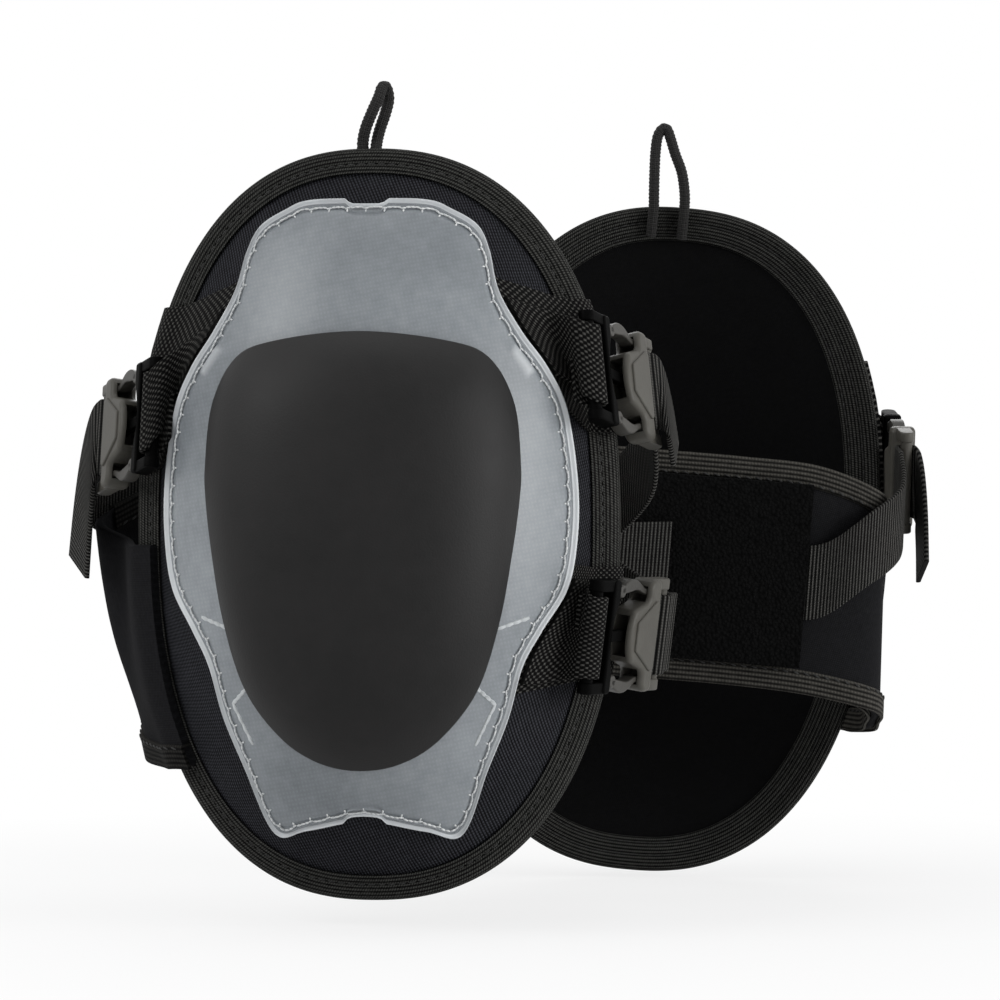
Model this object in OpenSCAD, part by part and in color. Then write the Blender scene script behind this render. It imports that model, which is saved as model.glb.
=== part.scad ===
// A pair of hard-cap knee pads that hang from their cord loops.
// The front pad shows its cap. The rear pad is turned round and shows its lining and straps.
// Pad frame: X to the right seen from the cap side, Y from the cap towards the leg, Z up,
// with the origin at the deepest point of the lining.

/* [Pad] */
// Height over the edge binding
pad_h = 230; // [205:1:260]
// Width over the edge binding
pad_w = 150; // [140:1:158]
// Squareness of the outline, where 2 is an ellipse
pad_squareness = 2.35; // [2.1:0.05:2.7]
// How far the side rims wrap back round the knee
side_wrap = 34; // [28:1:40]
// How far the top and bottom rims wrap back
end_wrap = 20; // [14:1:26]
// Thickness at the centre, without the flange and the cap
pad_t = 24; // [20:0.5:28]
// Thickness of the layers where the binding closes on them
rim_t = 5; // [4.6:0.1:6]
// How squarely the crown drops to the rim
crown_power = 3.5; // [2.6:0.1:4.5]

/* [Layers] */
// Thickness of the lining
lining_t = 3; // [2:0.1:3.2]
// Thickness of the outer fabric
cover_t = 1.2; // [0.8:0.1:1.4]
// Thickness of the gel insert
gel_t = 8; // [5:0.5:9]
// Share of the pad's outline that the gel insert fills
gel_share = 0.5; // [0.35:0.01:0.55]
// Width of the binding on each face
binding_w = 8; // [6:0.5:10]
// Thickness of the binding tape
binding_t = 1.2; // [0.9:0.1:1.4]

/* [Flange and cap] */
// Thickness of the clear flange
flange_t = 2.2; // [1.8:0.1:3]
// Height of the flange
flange_h = 192; // [180:1:196]
// Width of the flange
flange_w = 122; // [114:1:124]
// Height of the cap
cap_h = 128; // [118:1:134]
// Width of the cap
cap_w = 89; // [82:1:94]
// How far the cap stands above the flange
cap_rise = 8; // [5:0.5:11]
// Width of the cap's seat on the flange
cap_seat = 5; // [3:0.5:7]

/* [Webbing] */
// Width of the elastic straps
web_w = 25; // [22:0.5:26]
// Thickness of the elastic straps and tabs
web_t = 1.6; // [1.2:0.1:1.8]
// Width of a tab where it leaves the flange
tab_root_w = 27; // [26:1:32]

/* [Buckles] */
// Overall width of a buckle
buckle_w = 35; // [34:0.5:38]
// Thickness of a buckle
buckle_t = 8.4; // [8:0.1:9]
// Radius of the webbing bars
bar_r = 2; // [1.8:0.1:2.2]
// Width of the webbing slots
slot_w = 4; // [3.9:0.1:4.6]
// Length of a prong from its root
prong_len = 19; // [18:0.1:19.4]
// Height of a prong
prong_t = 4.4; // [3.6:0.1:4.6]

/* [Calf strap] */
// Height of the calf strap behind the leg
calf_h = 76; // [66:1:84]
// Thickness of the calf strap
calf_t = 3; // [2.2:0.1:3.6]
// Distance from the lining to the back of the strap loop
loop_depth = 73; // [68:1:80]
// Height of the loop-pile panel
pile_h = 61; // [54:1:66]
// Thickness of the loop-pile panel
pile_t = 2; // [1.4:0.1:2.6]
// Width of the tape on the calf strap's edges
calf_tape_w = 8; // [6:0.5:9]
// Thickness of that tape
calf_tape_t = 0.9; // [0.6:0.1:1.2]

/* [Hang loop] */
// Diameter of the hang cord
cord_d = 3.6; // [3:0.1:4]

/* [Hidden] */

// Clearance between soft layers, and the wider one under the flange, the cap and the tabs
layer_gap = 0.3;
seat_gap = 0.5;
// Running clearance in the buckles
run_gap = 0.3;
around = 40;
round_fn = 32;

half_w = pad_w / 2;
half_h = pad_h / 2;

// Vectors and curves

function unit(v) = v / norm(v);
function lerp(a, b, t) = a + (b - a) * t;
function mean(points) = [for (k = [0:2]) [for (p = points) p[k]] * [for (p = points) 1 / len(points)]];
function mirrored(p) = [-p.x, p.y, p.z];

function catmull(a, b, c, d, t) =
    (2 * b + (c - a) * t + (2 * a - 5 * b + 4 * c - d) * t * t + (3 * b - a - 3 * c + d) * t * t * t) / 2;

// A smooth line through the points, with a number of steps from each point to the next
function smooth(p, steps) = let (n = len(p) - 1) [
    for (i = [0:n - 1], k = [0:steps - 1])
        catmull(p[max(i - 1, 0)], p[i], p[i + 1], p[min(i + 2, n)], k / steps),
    p[n],
];

// Closed solids from rings of points

function band_faces(n, m, from, closed) = [
    for (k = [0:m - (closed ? 1 : 2)], i = [0:n - 1])
        let (a = from + k * n, b = from + ((k + 1) % m) * n, j = (i + 1) % n)
        each [[a + i, a + j, b + j], [a + i, b + j, b + i]],
];

// Rings from one end to the other, closed at the two given points
module skin(rings, first, last) {
    n = len(rings[0]);
    m = len(rings);
    end = n * m + 1;
    polyhedron(
        points = concat([first], [for (r = rings) each r], [last]),
        faces = concat(
            [for (i = [0:n - 1]) [0, 1 + (i + 1) % n, 1 + i]],
            band_faces(n, m, 1, false),
            [for (i = [0:n - 1]) [end, 1 + (m - 1) * n + i, 1 + (m - 1) * n + (i + 1) % n]]
        )
    );
}

// Rings that close on themselves, as a tyre does
module hoop(rings) {
    polyhedron(
        points = [for (r = rings) each r],
        faces = band_faces(len(rings[0]), len(rings), 0, true)
    );
}

module tube(rings) {
    skin(rings, mean(rings[0]), mean(rings[len(rings) - 1]));
}

// Rings whose two end sections are flat and may be hollowed, as a channel's are
module channel(rings) {
    n = len(rings[0]);
    m = len(rings);
    polyhedron(
        points = [for (r = rings) each r],
        faces = concat(
            [[for (i = [n - 1:-1:0]) i]],
            band_faces(n, m, 0, false),
            [[for (i = [0:n - 1]) (m - 1) * n + i]]
        )
    );
}

// A flat strap along a path: rows of centre points with half-width vectors

function strap_normal(path, spread, i) =
    let (n = len(path) - 1, along = path[min(i + 1, n)] - path[max(i - 1, 0)])
    unit(cross(along, spread[i]));

// One cross-section, with a point at each share of the half width on both faces
function strap_ring(p, v, h, shares) = concat(
    [for (s = shares) p + v * s + h],
    [for (i = [len(shares) - 1:-1:0]) p + v * shares[i] - h]
);

module strap(path, spread, t, shares = [-1, 1]) {
    tube([
        for (i = [0:len(path) - 1])
            strap_ring(path[i], spread[i], strap_normal(path, spread, i) * t / 2, shares)
    ]);
}

// The pad's surfaces

function oval(a, b, angle) =
    let (c = cos(angle), s = sin(angle), e = 2 / pad_squareness)
    [a * sign(c) * pow(abs(c), e), 0, b * sign(s) * pow(abs(s), e)];

function rim_ring(inset) = [for (i = [0:around - 1]) oval(half_w - inset, half_h - inset, i * 360 / around)];
function inner_ring(share) = rim_ring(binding_w) * share;

function cup(p) = side_wrap * pow(p.x / half_w, 2) + end_wrap * pow(p.z / half_h, 2);

// Share of the way from the centre to the binding's inner edge
function share_of(p) =
    let (e = pad_squareness)
    pow(pow(abs(p.x) / (half_w - binding_w), e) + pow(abs(p.z) / (half_h - binding_w), e), 1 / e);

function thickness(share) = rim_t + (pad_t - rim_t) * (1 - pow(min(share, 1), crown_power));
function front_y(p) = cup(p) - thickness(share_of(p));

// The outside that lies over the cover, and over the binding near the rim
function outside_y(p) = front_y(p) - binding_t * (1 - pow(1 - min(pow(share_of(p), 12), 1), 2));
function outside_slope(p, step) = (outside_y(p + step) - outside_y(p - step)) / (2 * norm(step));
function outside_normal(p) = unit([outside_slope(p, [0.5, 0, 0]), -1, outside_slope(p, [0, 0, 0.5])]);
function on_outside(p, rise) = [p.x, outside_y(p), p.z] + outside_normal(p) * rise;

function lifted(ring, back) = [for (p = ring) [p.x, cup(p) - back, p.z]];
function at_crown(ring, back) = [for (p = ring) [p.x, front_y(p) + back, p.z]];

cover_shares = [0.2, 0.4, 0.6, 0.75, 0.87, 0.95, 1];
lining_shares = [0.25, 0.5, 0.75, 1];

module cover() {
    rim = rim_ring(binding_t + layer_gap);
    color("#20242c") skin(
        concat(
            [for (s = cover_shares) at_crown(inner_ring(s), 0)],
            [lifted(rim, rim_t), lifted(rim, rim_t - cover_t)],
            [for (i = [len(cover_shares) - 1:-1:0]) at_crown(inner_ring(cover_shares[i]), cover_t)]
        ),
        [0, -pad_t, 0], [0, cover_t - pad_t, 0]
    );
}

module lining() {
    rim = rim_ring(binding_t + layer_gap);
    color("#121213") skin(
        concat(
            [for (s = lining_shares) lifted(inner_ring(s), lining_t)],
            [lifted(rim, lining_t), lifted(rim, 0)],
            [for (i = [len(lining_shares) - 1:-1:0]) lifted(inner_ring(lining_shares[i]), 0)]
        ),
        [0, -lining_t, 0], [0, 0, 0]
    );
}

foam_shares = [for (i = [0:5]) cover_shares[i]];
foam_back = lining_t + layer_gap;
gel_front = foam_back + gel_t;

module gel_insert() {
    color("#3f6d8c") skin(
        [
            for (s = [0.5, 1]) lifted(inner_ring(gel_share * s), gel_front),
            for (s = [1, 0.5]) lifted(inner_ring(gel_share * s), foam_back),
        ],
        [0, -gel_front, 0], [0, -foam_back, 0]
    );
}

// The foam block, with a pocket in its back for the gel
module foam_core() {
    pocket = gel_share + layer_gap / (half_w - binding_w);
    pocket_back = gel_front + layer_gap;
    color("#4a4a4a") skin(
        [
            for (s = foam_shares) at_crown(inner_ring(s), cover_t + layer_gap),
            for (s = [foam_shares[5], 0.75, pocket]) lifted(inner_ring(s), foam_back),
            for (s = [pocket, 0.25]) lifted(inner_ring(s), pocket_back),
        ],
        [0, cover_t + layer_gap - pad_t, 0], [0, -pocket_back, 0]
    );
}

// The tape folded round the rim
module edge_binding() {
    near = binding_t + layer_gap / 2;
    front = rim_t + layer_gap;
    color("#1b1b1b") hoop([
        lifted(rim_ring(binding_w), front),
        lifted(rim_ring(binding_w), front + binding_t),
        lifted(rim_ring(near), front + binding_t),
        lifted(rim_ring(0), rim_t * 0.7),
        lifted(rim_ring(0), rim_t * 0.3),
        lifted(rim_ring(near), -layer_gap - binding_t),
        lifted(rim_ring(binding_w), -layer_gap - binding_t),
        lifted(rim_ring(binding_w), -layer_gap),
        lifted(rim_ring(near), -layer_gap),
        lifted(rim_ring(near), front),
    ]);
}

// The flange and the cap are drawn as half outlines from the top to the bottom, in shares of their size

flange_half = [
    [0, 0, 0.505], [0.14, 0, 0.504], [0.2, 0, 0.49], [0.26, 0, 0.466], [0.29, 0, 0.427], [0.315, 0, 0.363],
    [0.37, 0, 0.3], [0.43, 0, 0.245], [0.475, 0, 0.18], [0.5, 0, 0.07], [0.5, 0, -0.02], [0.478, 0, -0.1],
    [0.42, 0, -0.165], [0.375, 0, -0.22], [0.34, 0, -0.3], [0.29, 0, -0.38], [0.225, 0, -0.482],
    [0.14, 0, -0.475], [0, 0, -0.458],
];
cap_half = [
    [0, 0, 0.44], [0.27, 0, 0.42], [0.4, 0, 0.383], [0.478, 0, 0.28], [0.5, 0, 0.14], [0.497, 0, 0.06],
    [0.475, 0, -0.065], [0.435, 0, -0.225], [0.365, 0, -0.38], [0.25, 0, -0.488], [0.13, 0, -0.543],
    [0, 0, -0.56],
];

function sized(half, w, h) = [for (p = half) [p.x * w, 0, p.z * h]];
function both_sides(half) = concat(half, [for (i = [len(half) - 2:-1:1]) mirrored(half[i])]);
function polar_table(half) = [for (p = half) [atan2(p.x, p.z), norm(p)]];

flange_outline = both_sides(smooth(sized(flange_half, flange_w, flange_h), 2));
cap_table = polar_table(smooth(sized(cap_half, cap_w, cap_h), 3));
function cap_edge(p) = lookup(abs(atan2(p.x, p.z)), cap_table);

// Points between the cap's seat and the flange's edge
flange_hole = [for (p = flange_outline) unit(p) * (cap_edge(p) - cap_seat)];
function flange_ring(share) = [
    for (i = [0:len(flange_outline) - 1]) lerp(flange_hole[i], flange_outline[i], share)
];
function laid(ring, rise) = [for (p = ring) on_outside(p, rise)];

module flange() {
    shares = [0, 0.25, 0.5, 0.75, 1];
    color([0.72, 0.76, 0.79, 0.6]) hoop([
        for (s = shares) laid(flange_ring(s), seat_gap),
        for (i = [len(shares) - 1:-1:0]) laid(flange_ring(shares[i]), seat_gap + flange_t),
    ]);
}

cap_base = 2 * seat_gap + flange_t;
cap_lip = 1.6;
function cap_ring(share, inset) = [
    for (i = [0:around - 1])
        let (a = i * 360 / around, d = [cos(a), 0, sin(a)])
        d * (cap_edge(d) - inset) * share
];
function cap_height(share) = cap_base + cap_lip + cap_rise * (1 - pow(share, 5));

// The domed cap, whose back fills the flange's hole
module cap() {
    boss = cap_seat + seat_gap;
    color("#2b2a2a") skin(
        [
            for (s = [0.25, 0.5, 0.68, 0.8, 0.88, 0.94, 0.98, 1]) laid(cap_ring(s, 0), cap_height(s)),
            laid(cap_ring(1, 0), cap_base),
            laid(cap_ring(1, boss), cap_base),
            for (s = [1, 0.75, 0.5, 0.25]) laid(cap_ring(s, boss), seat_gap),
        ],
        on_outside([0, 0, 0], cap_height(0)), on_outside([0, 0, 0], seat_gap)
    );
}

// Buckle places: the centre of the tab bar, then the turn of the pull out from straight back,
// its drop below level and its lean about itself, in degrees

// The buckles sit by the rim, or clear of a flange that comes near it
flange_margin = 14;
buckle_out = max(half_w, flange_w / 2 + flange_margin);
front_upper = [[buckle_out - 7.5, side_wrap - 25.5, 48], [24, 11.5, -12]];
rear_upper = [[buckle_out + 1, side_wrap - 20, 48], [8, 11.5, -12]];
lower = [[buckle_out - 7.5, side_wrap - 26.5, -34], [27, 0, 8]];
// The left buckles hang lower. They are placed as right ones and then mirrored
front_left = [[buckle_out - 8.5, side_wrap - 25, 34], [32, 11.5, -8]];
rear_left = [[buckle_out + 2.5, side_wrap - 22, 34], [5, 11.5, -5]];

function pull_of(place) =
    let (out = place[1][0], drop = place[1][1])
    [sin(out) * cos(drop), cos(out) * cos(drop), -sin(drop)];
function rise_of(place) =
    let (out = place[1][0], drop = place[1][1])
    [sin(out) * sin(drop), cos(out) * sin(drop), cos(drop)];
function across_of(place) =
    let (lean = place[1][2], out = cross(pull_of(place), rise_of(place)))
    rise_of(place) * cos(lean) + out * sin(lean);
function face_of(place) = cross(pull_of(place), across_of(place));

// A point of a buckle in the pad frame: along the pull, across it, and out of its face
function buckle_point(place, p) =
    place[0] + pull_of(place) * p.x + across_of(place) * p.y + face_of(place) * p.z;

module at_buckle(place) {
    u = pull_of(place);
    v = across_of(place);
    w = face_of(place);
    multmatrix([
        [u.x, v.x, w.x, place[0].x],
        [u.y, v.y, w.y, place[0].y],
        [u.z, v.z, w.z, place[0].z],
        [0, 0, 0, 1],
    ]) children();
}

// The buckle: a plug on the tab, a socket on the strap, and two prongs that squeeze in

rail_w = 3.6;
rail_t = 5;
base_len = 4;
inner_w = buckle_w - 2 * rail_w;
base_from = bar_r + slot_w;
base_to = base_from + base_len;
knuckle_r = 2;
prong_x = base_to + run_gap + knuckle_r;
prong_y = buckle_w / 2 - rail_w;
tongue_w = 3.4;
tongue_t = 2.6;
tongue_len = 17;
mouth_x = base_to + 6.5;
arch_r = 26;
block_from = prong_x + prong_len - 5;
block_to = block_from + 6.6;
socket_bar_x = block_to + slot_w + bar_r;
lip = 1.6;
cavity_t = prong_t + 2 * run_gap;

module plug() {
    color("#262626") union() {
        for (side = [-1, 1]) {
            y = side * (buckle_w - rail_w) / 2;
            translate([0, y - rail_w / 2, -rail_t / 2]) cube([base_to, rail_w, rail_t]);
            translate([0, y, 0]) rotate([90, 0, 0])
                cylinder(d = rail_t, h = rail_w, center = true, $fn = round_fn);
        }
        rotate([90, 0, 0]) cylinder(r = bar_r, h = inner_w + 1, center = true, $fn = round_fn);
        difference() {
            translate([base_from, -buckle_w / 2, -rail_t / 2 - 0.5]) cube([base_len, buckle_w, rail_t + 1]);
            translate([base_from + 1.6 + arch_r, 0, 0])
                cylinder(r = arch_r, h = rail_t + 2, center = true, $fn = 4 * round_fn);
        }
        translate([base_from + 1, -tongue_w / 2, -tongue_t / 2])
            cube([base_len - 1 + tongue_len, tongue_w, tongue_t]);
    }
}

// The upper edge of a prong, from its root knuckle to its barbed tip, and its lower edge back
prong_shape = [
    [-0.8, 1], [4, 3.5], [8, 3.5], [11.2, 2], [13.4, 0.8], [14.8, 0.8], [17, 1.2], [19, 1.5],
    [19.3, 0.4], [18, -0.8], [14, -1.2], [9, 0.2], [4, -0.4], [-0.8, -1],
];

module prong() {
    stretch = prong_len / 19;
    color("#2e2e2e") translate([prong_x, prong_y, -prong_t / 2]) union() {
        cylinder(r = knuckle_r, h = prong_t, $fn = round_fn);
        linear_extrude(prong_t) polygon([for (p = smooth(prong_shape, 2)) [p.x * stretch, p.y]]);
    }
}

module socket() {
    half = buckle_w / 2;
    end = socket_bar_x + bar_r;
    pocket_y = prong_y + 1.4;
    color("#33332f") difference() {
        union() {
            translate([block_from, -half, -buckle_t / 2]) cube([block_to - block_from, buckle_w, buckle_t]);
            for (side = [-1, 1]) {
                y = side * (half - rail_w / 2);
                translate([block_to - 1, y - rail_w / 2, -rail_t / 2])
                    cube([socket_bar_x - block_to + 1, rail_w, rail_t]);
                translate([socket_bar_x, y, 0]) rotate([90, 0, 0])
                    cylinder(d = rail_t, h = rail_w, center = true, $fn = round_fn);
            }
            translate([socket_bar_x, 0, 0]) rotate([90, 0, 0])
                cylinder(r = bar_r, h = inner_w + 1, center = true, $fn = round_fn);
            translate([0, 0, -buckle_t / 2]) linear_extrude(buckle_t) intersection() {
                polygon([
                    [mouth_x, -8], [block_from + 1, -10.8], [block_from + 1, 10.8], [mouth_x, 8],
                ]);
                translate([mouth_x + 20, 0]) circle(r = 20, $fn = 2 * round_fn);
            }
            translate([0, 0, buckle_t / 2 - 1]) linear_extrude(1.6) polygon([
                [mouth_x + 3, -4.5], [block_to - 1, -half + 5], [block_to - 1, half - 5], [mouth_x + 3, 4.5],
            ]);
        }
        translate([mouth_x - 1, -tongue_w / 2 - run_gap, -tongue_t / 2 - run_gap])
            cube([base_to + tongue_len + 2 - mouth_x, tongue_w + 2 * run_gap, tongue_t + 2 * run_gap]);
        for (side = [-1, 1]) scale([1, side, 1]) {
            translate([block_from - 1, prong_y - 3.4, -cavity_t / 2])
                cube([1 + lip, pocket_y - prong_y + 3.4, cavity_t]);
            translate([block_from + lip - 0.1, prong_y - 3.4, -cavity_t / 2])
                cube([5 - lip + 1, pocket_y - prong_y + 4.2, cavity_t]);
        }
    }
}

// Webbing tabs: from the flange's edge straight to the plug's bar and round it

tab_turn_r = bar_r + run_gap + web_t / 2;
tab_steps = 5;
tab_turns = 8;

// Where a straight line from p touches the turn round the bar, on its far side
function tab_meet(p, place) =
    let (v = p - place[0], x = v * pull_of(place), z = v * face_of(place))
    atan2(z, x) + acos(tab_turn_r / norm([x, z]));
tab_end = 130;

function tab_turn(place, a) = buckle_point(place, [cos(a), 0, sin(a)] * tab_turn_r);

function tab_path(root, place) =
    let (
        seam = on_outside(root, seat_gap + web_t / 2),
        far = tab_meet(seam, place)
    )
    concat(
        [for (k = [0:tab_steps - 1]) lerp(seam, tab_turn(place, far), k / tab_steps)],
        [for (k = [0:tab_turns]) tab_turn(place, lerp(far, tab_end, k / tab_turns))]
    );

// Half-width vectors, from the seam's width to the bar's
function tab_spread(place) = [
    for (k = [0:tab_steps + tab_turns])
        across_of(place) * lerp(tab_root_w, web_w, min(1, 2 * k / tab_steps)) / 2
];

// The middle of each tab's seam at the flange's edge, set in from the flange's widest reach
upper_seam_in = 2.5;
left_seam_in = -0.6;
lower_seam_in = 2.5;
upper_tab = [flange_w / 2 - upper_seam_in, 0, 49];
left_tab = [flange_w / 2 - left_seam_in, 0, 35];
lower_tab = [flange_w / 2 - lower_seam_in, 0, -33];

module tab(seam, place) {
    strap(tab_path(seam, place), tab_spread(place), web_t);
}

module webbing_tabs(upper, left) {
    color("#161616") {
        tab(upper_tab, upper);
        mirror([1, 0, 0]) tab(left_tab, left);
        tab(lower_tab, lower);
    }
}

// The calf strap: neoprene sewn to the left rim, folded round the leg and open at its right end.
// Each station is a place in plan, with the heights of the bottom and top edges and the lean of the fold

calf_top = 30;
calf_bottom = calf_top - calf_h;
calf_back = loop_depth + calf_t / 2;
seam_y = side_wrap + calf_t / 2 + 5;
// Each pad's strap: how far it folds out, how far it sags and how it leans
front_fold = [8, 15, 1];
rear_fold = [-1, 0, -0.35];
function calf_stations(fold) = let (out = fold[0], sag = fold[1], lean = fold[2]) [
    [[8 - half_w, seam_y - 3, 0], -60 - sag, 2 - sag, 0],
    [[-out * 0.3 - half_w, seam_y + 3, 0], -59 - sag, 5 - sag, -3 * lean],
    [[-out - half_w, seam_y + 13, 0], -56 - sag * 0.9, 10 - sag * 0.8, -6 * lean],
    [[-out * 0.9 - half_w, calf_back - 11, 0], -53 - sag * 0.8, 16 - sag * 0.7, -5 * lean],
    [[-out * 0.2 + 6 - half_w, calf_back - 3, 0], -50 - sag * 0.7, 23 - sag * 0.6, -2 * lean],
    [[26 - half_w, calf_back, 0], calf_bottom - 1 - sag * 0.4, calf_top - 1 - sag * 0.4, 0],
    [[-24, calf_back, 0], calf_bottom - sag * 0.1, calf_top - sag * 0.1, 0],
    [[5, calf_back, 0], calf_bottom, calf_top, 0],
    [[36, calf_back, 0], calf_bottom, calf_top, 0],
];
calf_rows = 3;
calf_shares = [-1, -0.8, -0.4, 0, 0.4, 0.8, 1];
function calf_path(fold) =
    smooth([for (s = calf_stations(fold)) s[0] + [0, 0, (s[1] + s[2]) / 2]], calf_rows);
function calf_spread(fold) =
    smooth([for (s = calf_stations(fold)) [s[3], 0, (s[2] - s[1]) / 2]], calf_rows);

module calf_strap(fold) {
    inset = calf_tape_t + layer_gap;
    color("#17181a") strap(
        calf_path(fold), [for (v = calf_spread(fold)) v - unit(v) * inset], calf_t, calf_shares
    );
}

// Tape folded over the strap's top and bottom edges
module calf_strap_tape(fold) {
    near = calf_t / 2 + layer_gap;
    far = near + calf_tape_t;
    path = calf_path(fold);
    spread = calf_spread(fold);
    section = [
        [calf_tape_w, near], [calf_tape_w, far], [0, far], [0, -far], [calf_tape_w, -far],
        [calf_tape_w, -near], [calf_tape_t, -near], [calf_tape_t, near],
    ];
    color("#2a2927") for (side = [-1, 1]) channel([
        for (i = [0:len(path) - 1])
            let (n = strap_normal(path, spread, i) * side, v = spread[i] * side)
            [for (q = section) path[i] + v - unit(v) * q[0] + n * q[1]]
    ]);
}

// Layers behind the calf strap: the thigh strap runs in the sleeve under the pile panel
sleeve_gap = 0.6;
sleeve_back = loop_depth + calf_t + sleeve_gap + web_t / 2;
pile_back = sleeve_back + web_t / 2 + sleeve_gap + pile_t / 2;
elastic_back = pile_back + pile_t / 2 + layer_gap + web_t / 2;
pile_z = calf_top - calf_h / 2;
strap_z = pile_z - 2;

module pile_panel() {
    color("#0f0f10") strap(
        [for (x = [-48, -18, 8, 34]) [x, pile_back, pile_z]],
        [for (k = [0:3]) [0, 0, pile_h / 2]],
        pile_t
    );
}

// Round a socket's bar, from the inner face to the outer face
bar_turn_r = bar_r + run_gap + web_t / 2;
function round_bar(place) = [
    for (a = [-90:-30:-270])
        buckle_point(place, [socket_bar_x + bar_turn_r * cos(a), 0, bar_turn_r * sin(a)])
];
function web_across(place) = across_of(place) * web_w / 2;

// The free tail that folds out over the bar and hangs
function tail_path(place, tail) = [
    for (k = [1:5])
        buckle_point(place, [socket_bar_x + tail[0] * k / 5, 0, bar_turn_r + k])
            - [0, 0, tail[1] * pow(k / 5, 2)]
];
function tail_spread(place) = [
    for (k = [1:5]) unit(lerp(across_of(place), [0, 0.95, 0.3], k / 5)) * web_w / 2
];

// From the sleeve behind the leg up to an upper socket, round its bar and down the tail
// Each tail's run beyond the bar and its drop
front_tails = [[8, 40], [2, 20]];
rear_tails = [[2, 30], [2, 20]];
// The run keeps outside the calf strap, which reaches out to the given place
function upper_run(place, reach) =
    let (e = buckle_point(place, [socket_bar_x + 8, 0, -bar_turn_r]))
    [
        [14, sleeve_back, strap_z], [36, sleeve_back, strap_z], [53, sleeve_back + 0.2, strap_z + 1],
        [lerp(53, max(e.x, reach), 0.55), sleeve_back + 2.5, lerp(strap_z, e.z, 0.35)],
        [max(e.x - 1, reach), e.y + 12, lerp(strap_z, e.z, 0.65)], e,
    ];
function run_spread(place, n) = [
    for (k = [0:n]) unit(lerp([0, 0, 1], across_of(place), pow(k / n, 2))) * web_w / 2
];
function upper_path(place, tail, reach) =
    concat(smooth(upper_run(place, reach), 3), round_bar(place), tail_path(place, tail));
function upper_spread(place) = concat(
    smooth(run_spread(place, 5), 3), [for (a = [0:6]) web_across(place)], tail_spread(place)
);
function reversed(list) = [for (i = [len(list) - 1:-1:0]) list[i]];

module thigh_strap(left, right, tails, fold) {
    color("#1c1c1c") strap(
        concat(
            [for (p = reversed(upper_path(left, tails[0], half_w + fold[0] + fold[2] * 5 + 6))) mirrored(p)],
            upper_path(right, tails[1], 0)
        ),
        concat([for (v = reversed(upper_spread(left))) mirrored(v)], upper_spread(right)),
        web_t
    );
}

// The calf strap's elastic: sewn to the pile panel, run to the lower socket and sewn back on itself
function lower_run(place) =
    let (e = buckle_point(place, [socket_bar_x + 10, 0, -bar_turn_r]))
    [
        [-2, elastic_back, strap_z + 4], [32, elastic_back + 0.4, strap_z],
        [lerp(32, e.x, 0.5), elastic_back + 3, strap_z - 8], [e.x - 3, e.y + 13, e.z + 1], e,
    ];
function sewn_end(place) = [
    for (k = [1:3]) buckle_point(place, [socket_bar_x + 4 * k, 0, bar_turn_r - 1.2 * k])
];

module calf_elastic(place) {
    color("#1c1c1c") strap(
        concat(smooth(lower_run(place), 3), round_bar(place), sewn_end(place)),
        concat(smooth(run_spread(place, 4), 3), [for (k = [1:10]) web_across(place)]),
        web_t
    );
}

// The hang cords, by points chosen along each loop. The front loop is twisted, the rear one is open

front_loop_route = [
    [-4, 20.2, 104], [-4, 21.9, 109], [-4, 23.6, 114], [-4, 24.2, 118], [-3, 23.5, 122], [-1, 22.5, 126.6],
    [1, 22.5, 131], [2, 24, 134.3], [3, 26, 134.3], [3.5, 27.5, 131], [2.5, 27.5, 126.6], [1, 27, 122],
    [0.2, 25.5, 118], [0, 23.4, 114], [0, 21.7, 109], [0, 20, 104],
];
rear_loop_route = [
    [11, 21, 104], [11, 22.7, 109], [11, 24.3, 114], [11.4, 25, 119.5], [11.8, 25, 126.5], [12, 25, 132.7],
    [11.7, 25, 138], [10.3, 25, 140.8], [8.7, 25, 140.8], [7.3, 25, 138], [5.2, 25, 132.7],
    [2.4, 25, 126.5], [0.8, 24.5, 119.5], [0.4, 23.5, 114], [0.4, 21.9, 109], [0.4, 20.2, 104],
];
cord_sides = 8;

function cord_ring(path, i) =
    let (
        n = len(path) - 1,
        along = unit(path[min(i + 1, n)] - path[max(i - 1, 0)]),
        side = unit(cross(along, abs(along.y) < 0.9 ? [0, 1, 0] : [1, 0, 0])),
        up = cross(side, along)
    )
    [for (k = [0:cord_sides - 1])
        let (a = k * 360 / cord_sides) path[i] + (side * cos(a) + up * sin(a)) * cord_d / 2];

module hang_loop(route) {
    color("#141414") tube([for (i = [0:len(route) - 1]) cord_ring(route, i)]);
}

// Where a hook bears in each loop, under the two top points of its route
function hook_of(route) = (route[7] + route[8]) / 2 - [0, 0, cord_d / 2];

// Places of the two pads: the front pad's hook is the origin, and the rear pad hangs behind it

front_yaw = -5;
rear_hook = [92.2, 152, 0.8];
rear_roll = 4.8;

module in_front() {
    rotate([0, 0, front_yaw]) translate(-hook_of(front_loop_route)) children();
}

module in_rear() {
    translate(rear_hook) rotate([0, rear_roll, 0]) rotate([0, 0, 180])
        translate(-hook_of(rear_loop_route)) children();
}

module front_upper_right() { in_front() at_buckle(front_upper) children(); }
module front_upper_left() { in_front() mirror([1, 0, 0]) at_buckle(front_left) children(); }
module front_lower_right() { in_front() at_buckle(lower) children(); }
module rear_upper_right() { in_rear() at_buckle(rear_upper) children(); }
module rear_upper_left() { in_rear() mirror([1, 0, 0]) at_buckle(rear_left) children(); }
module rear_lower_right() { in_rear() at_buckle(lower) children(); }
module flip() { mirror([0, 1, 0]) children(); }

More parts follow.
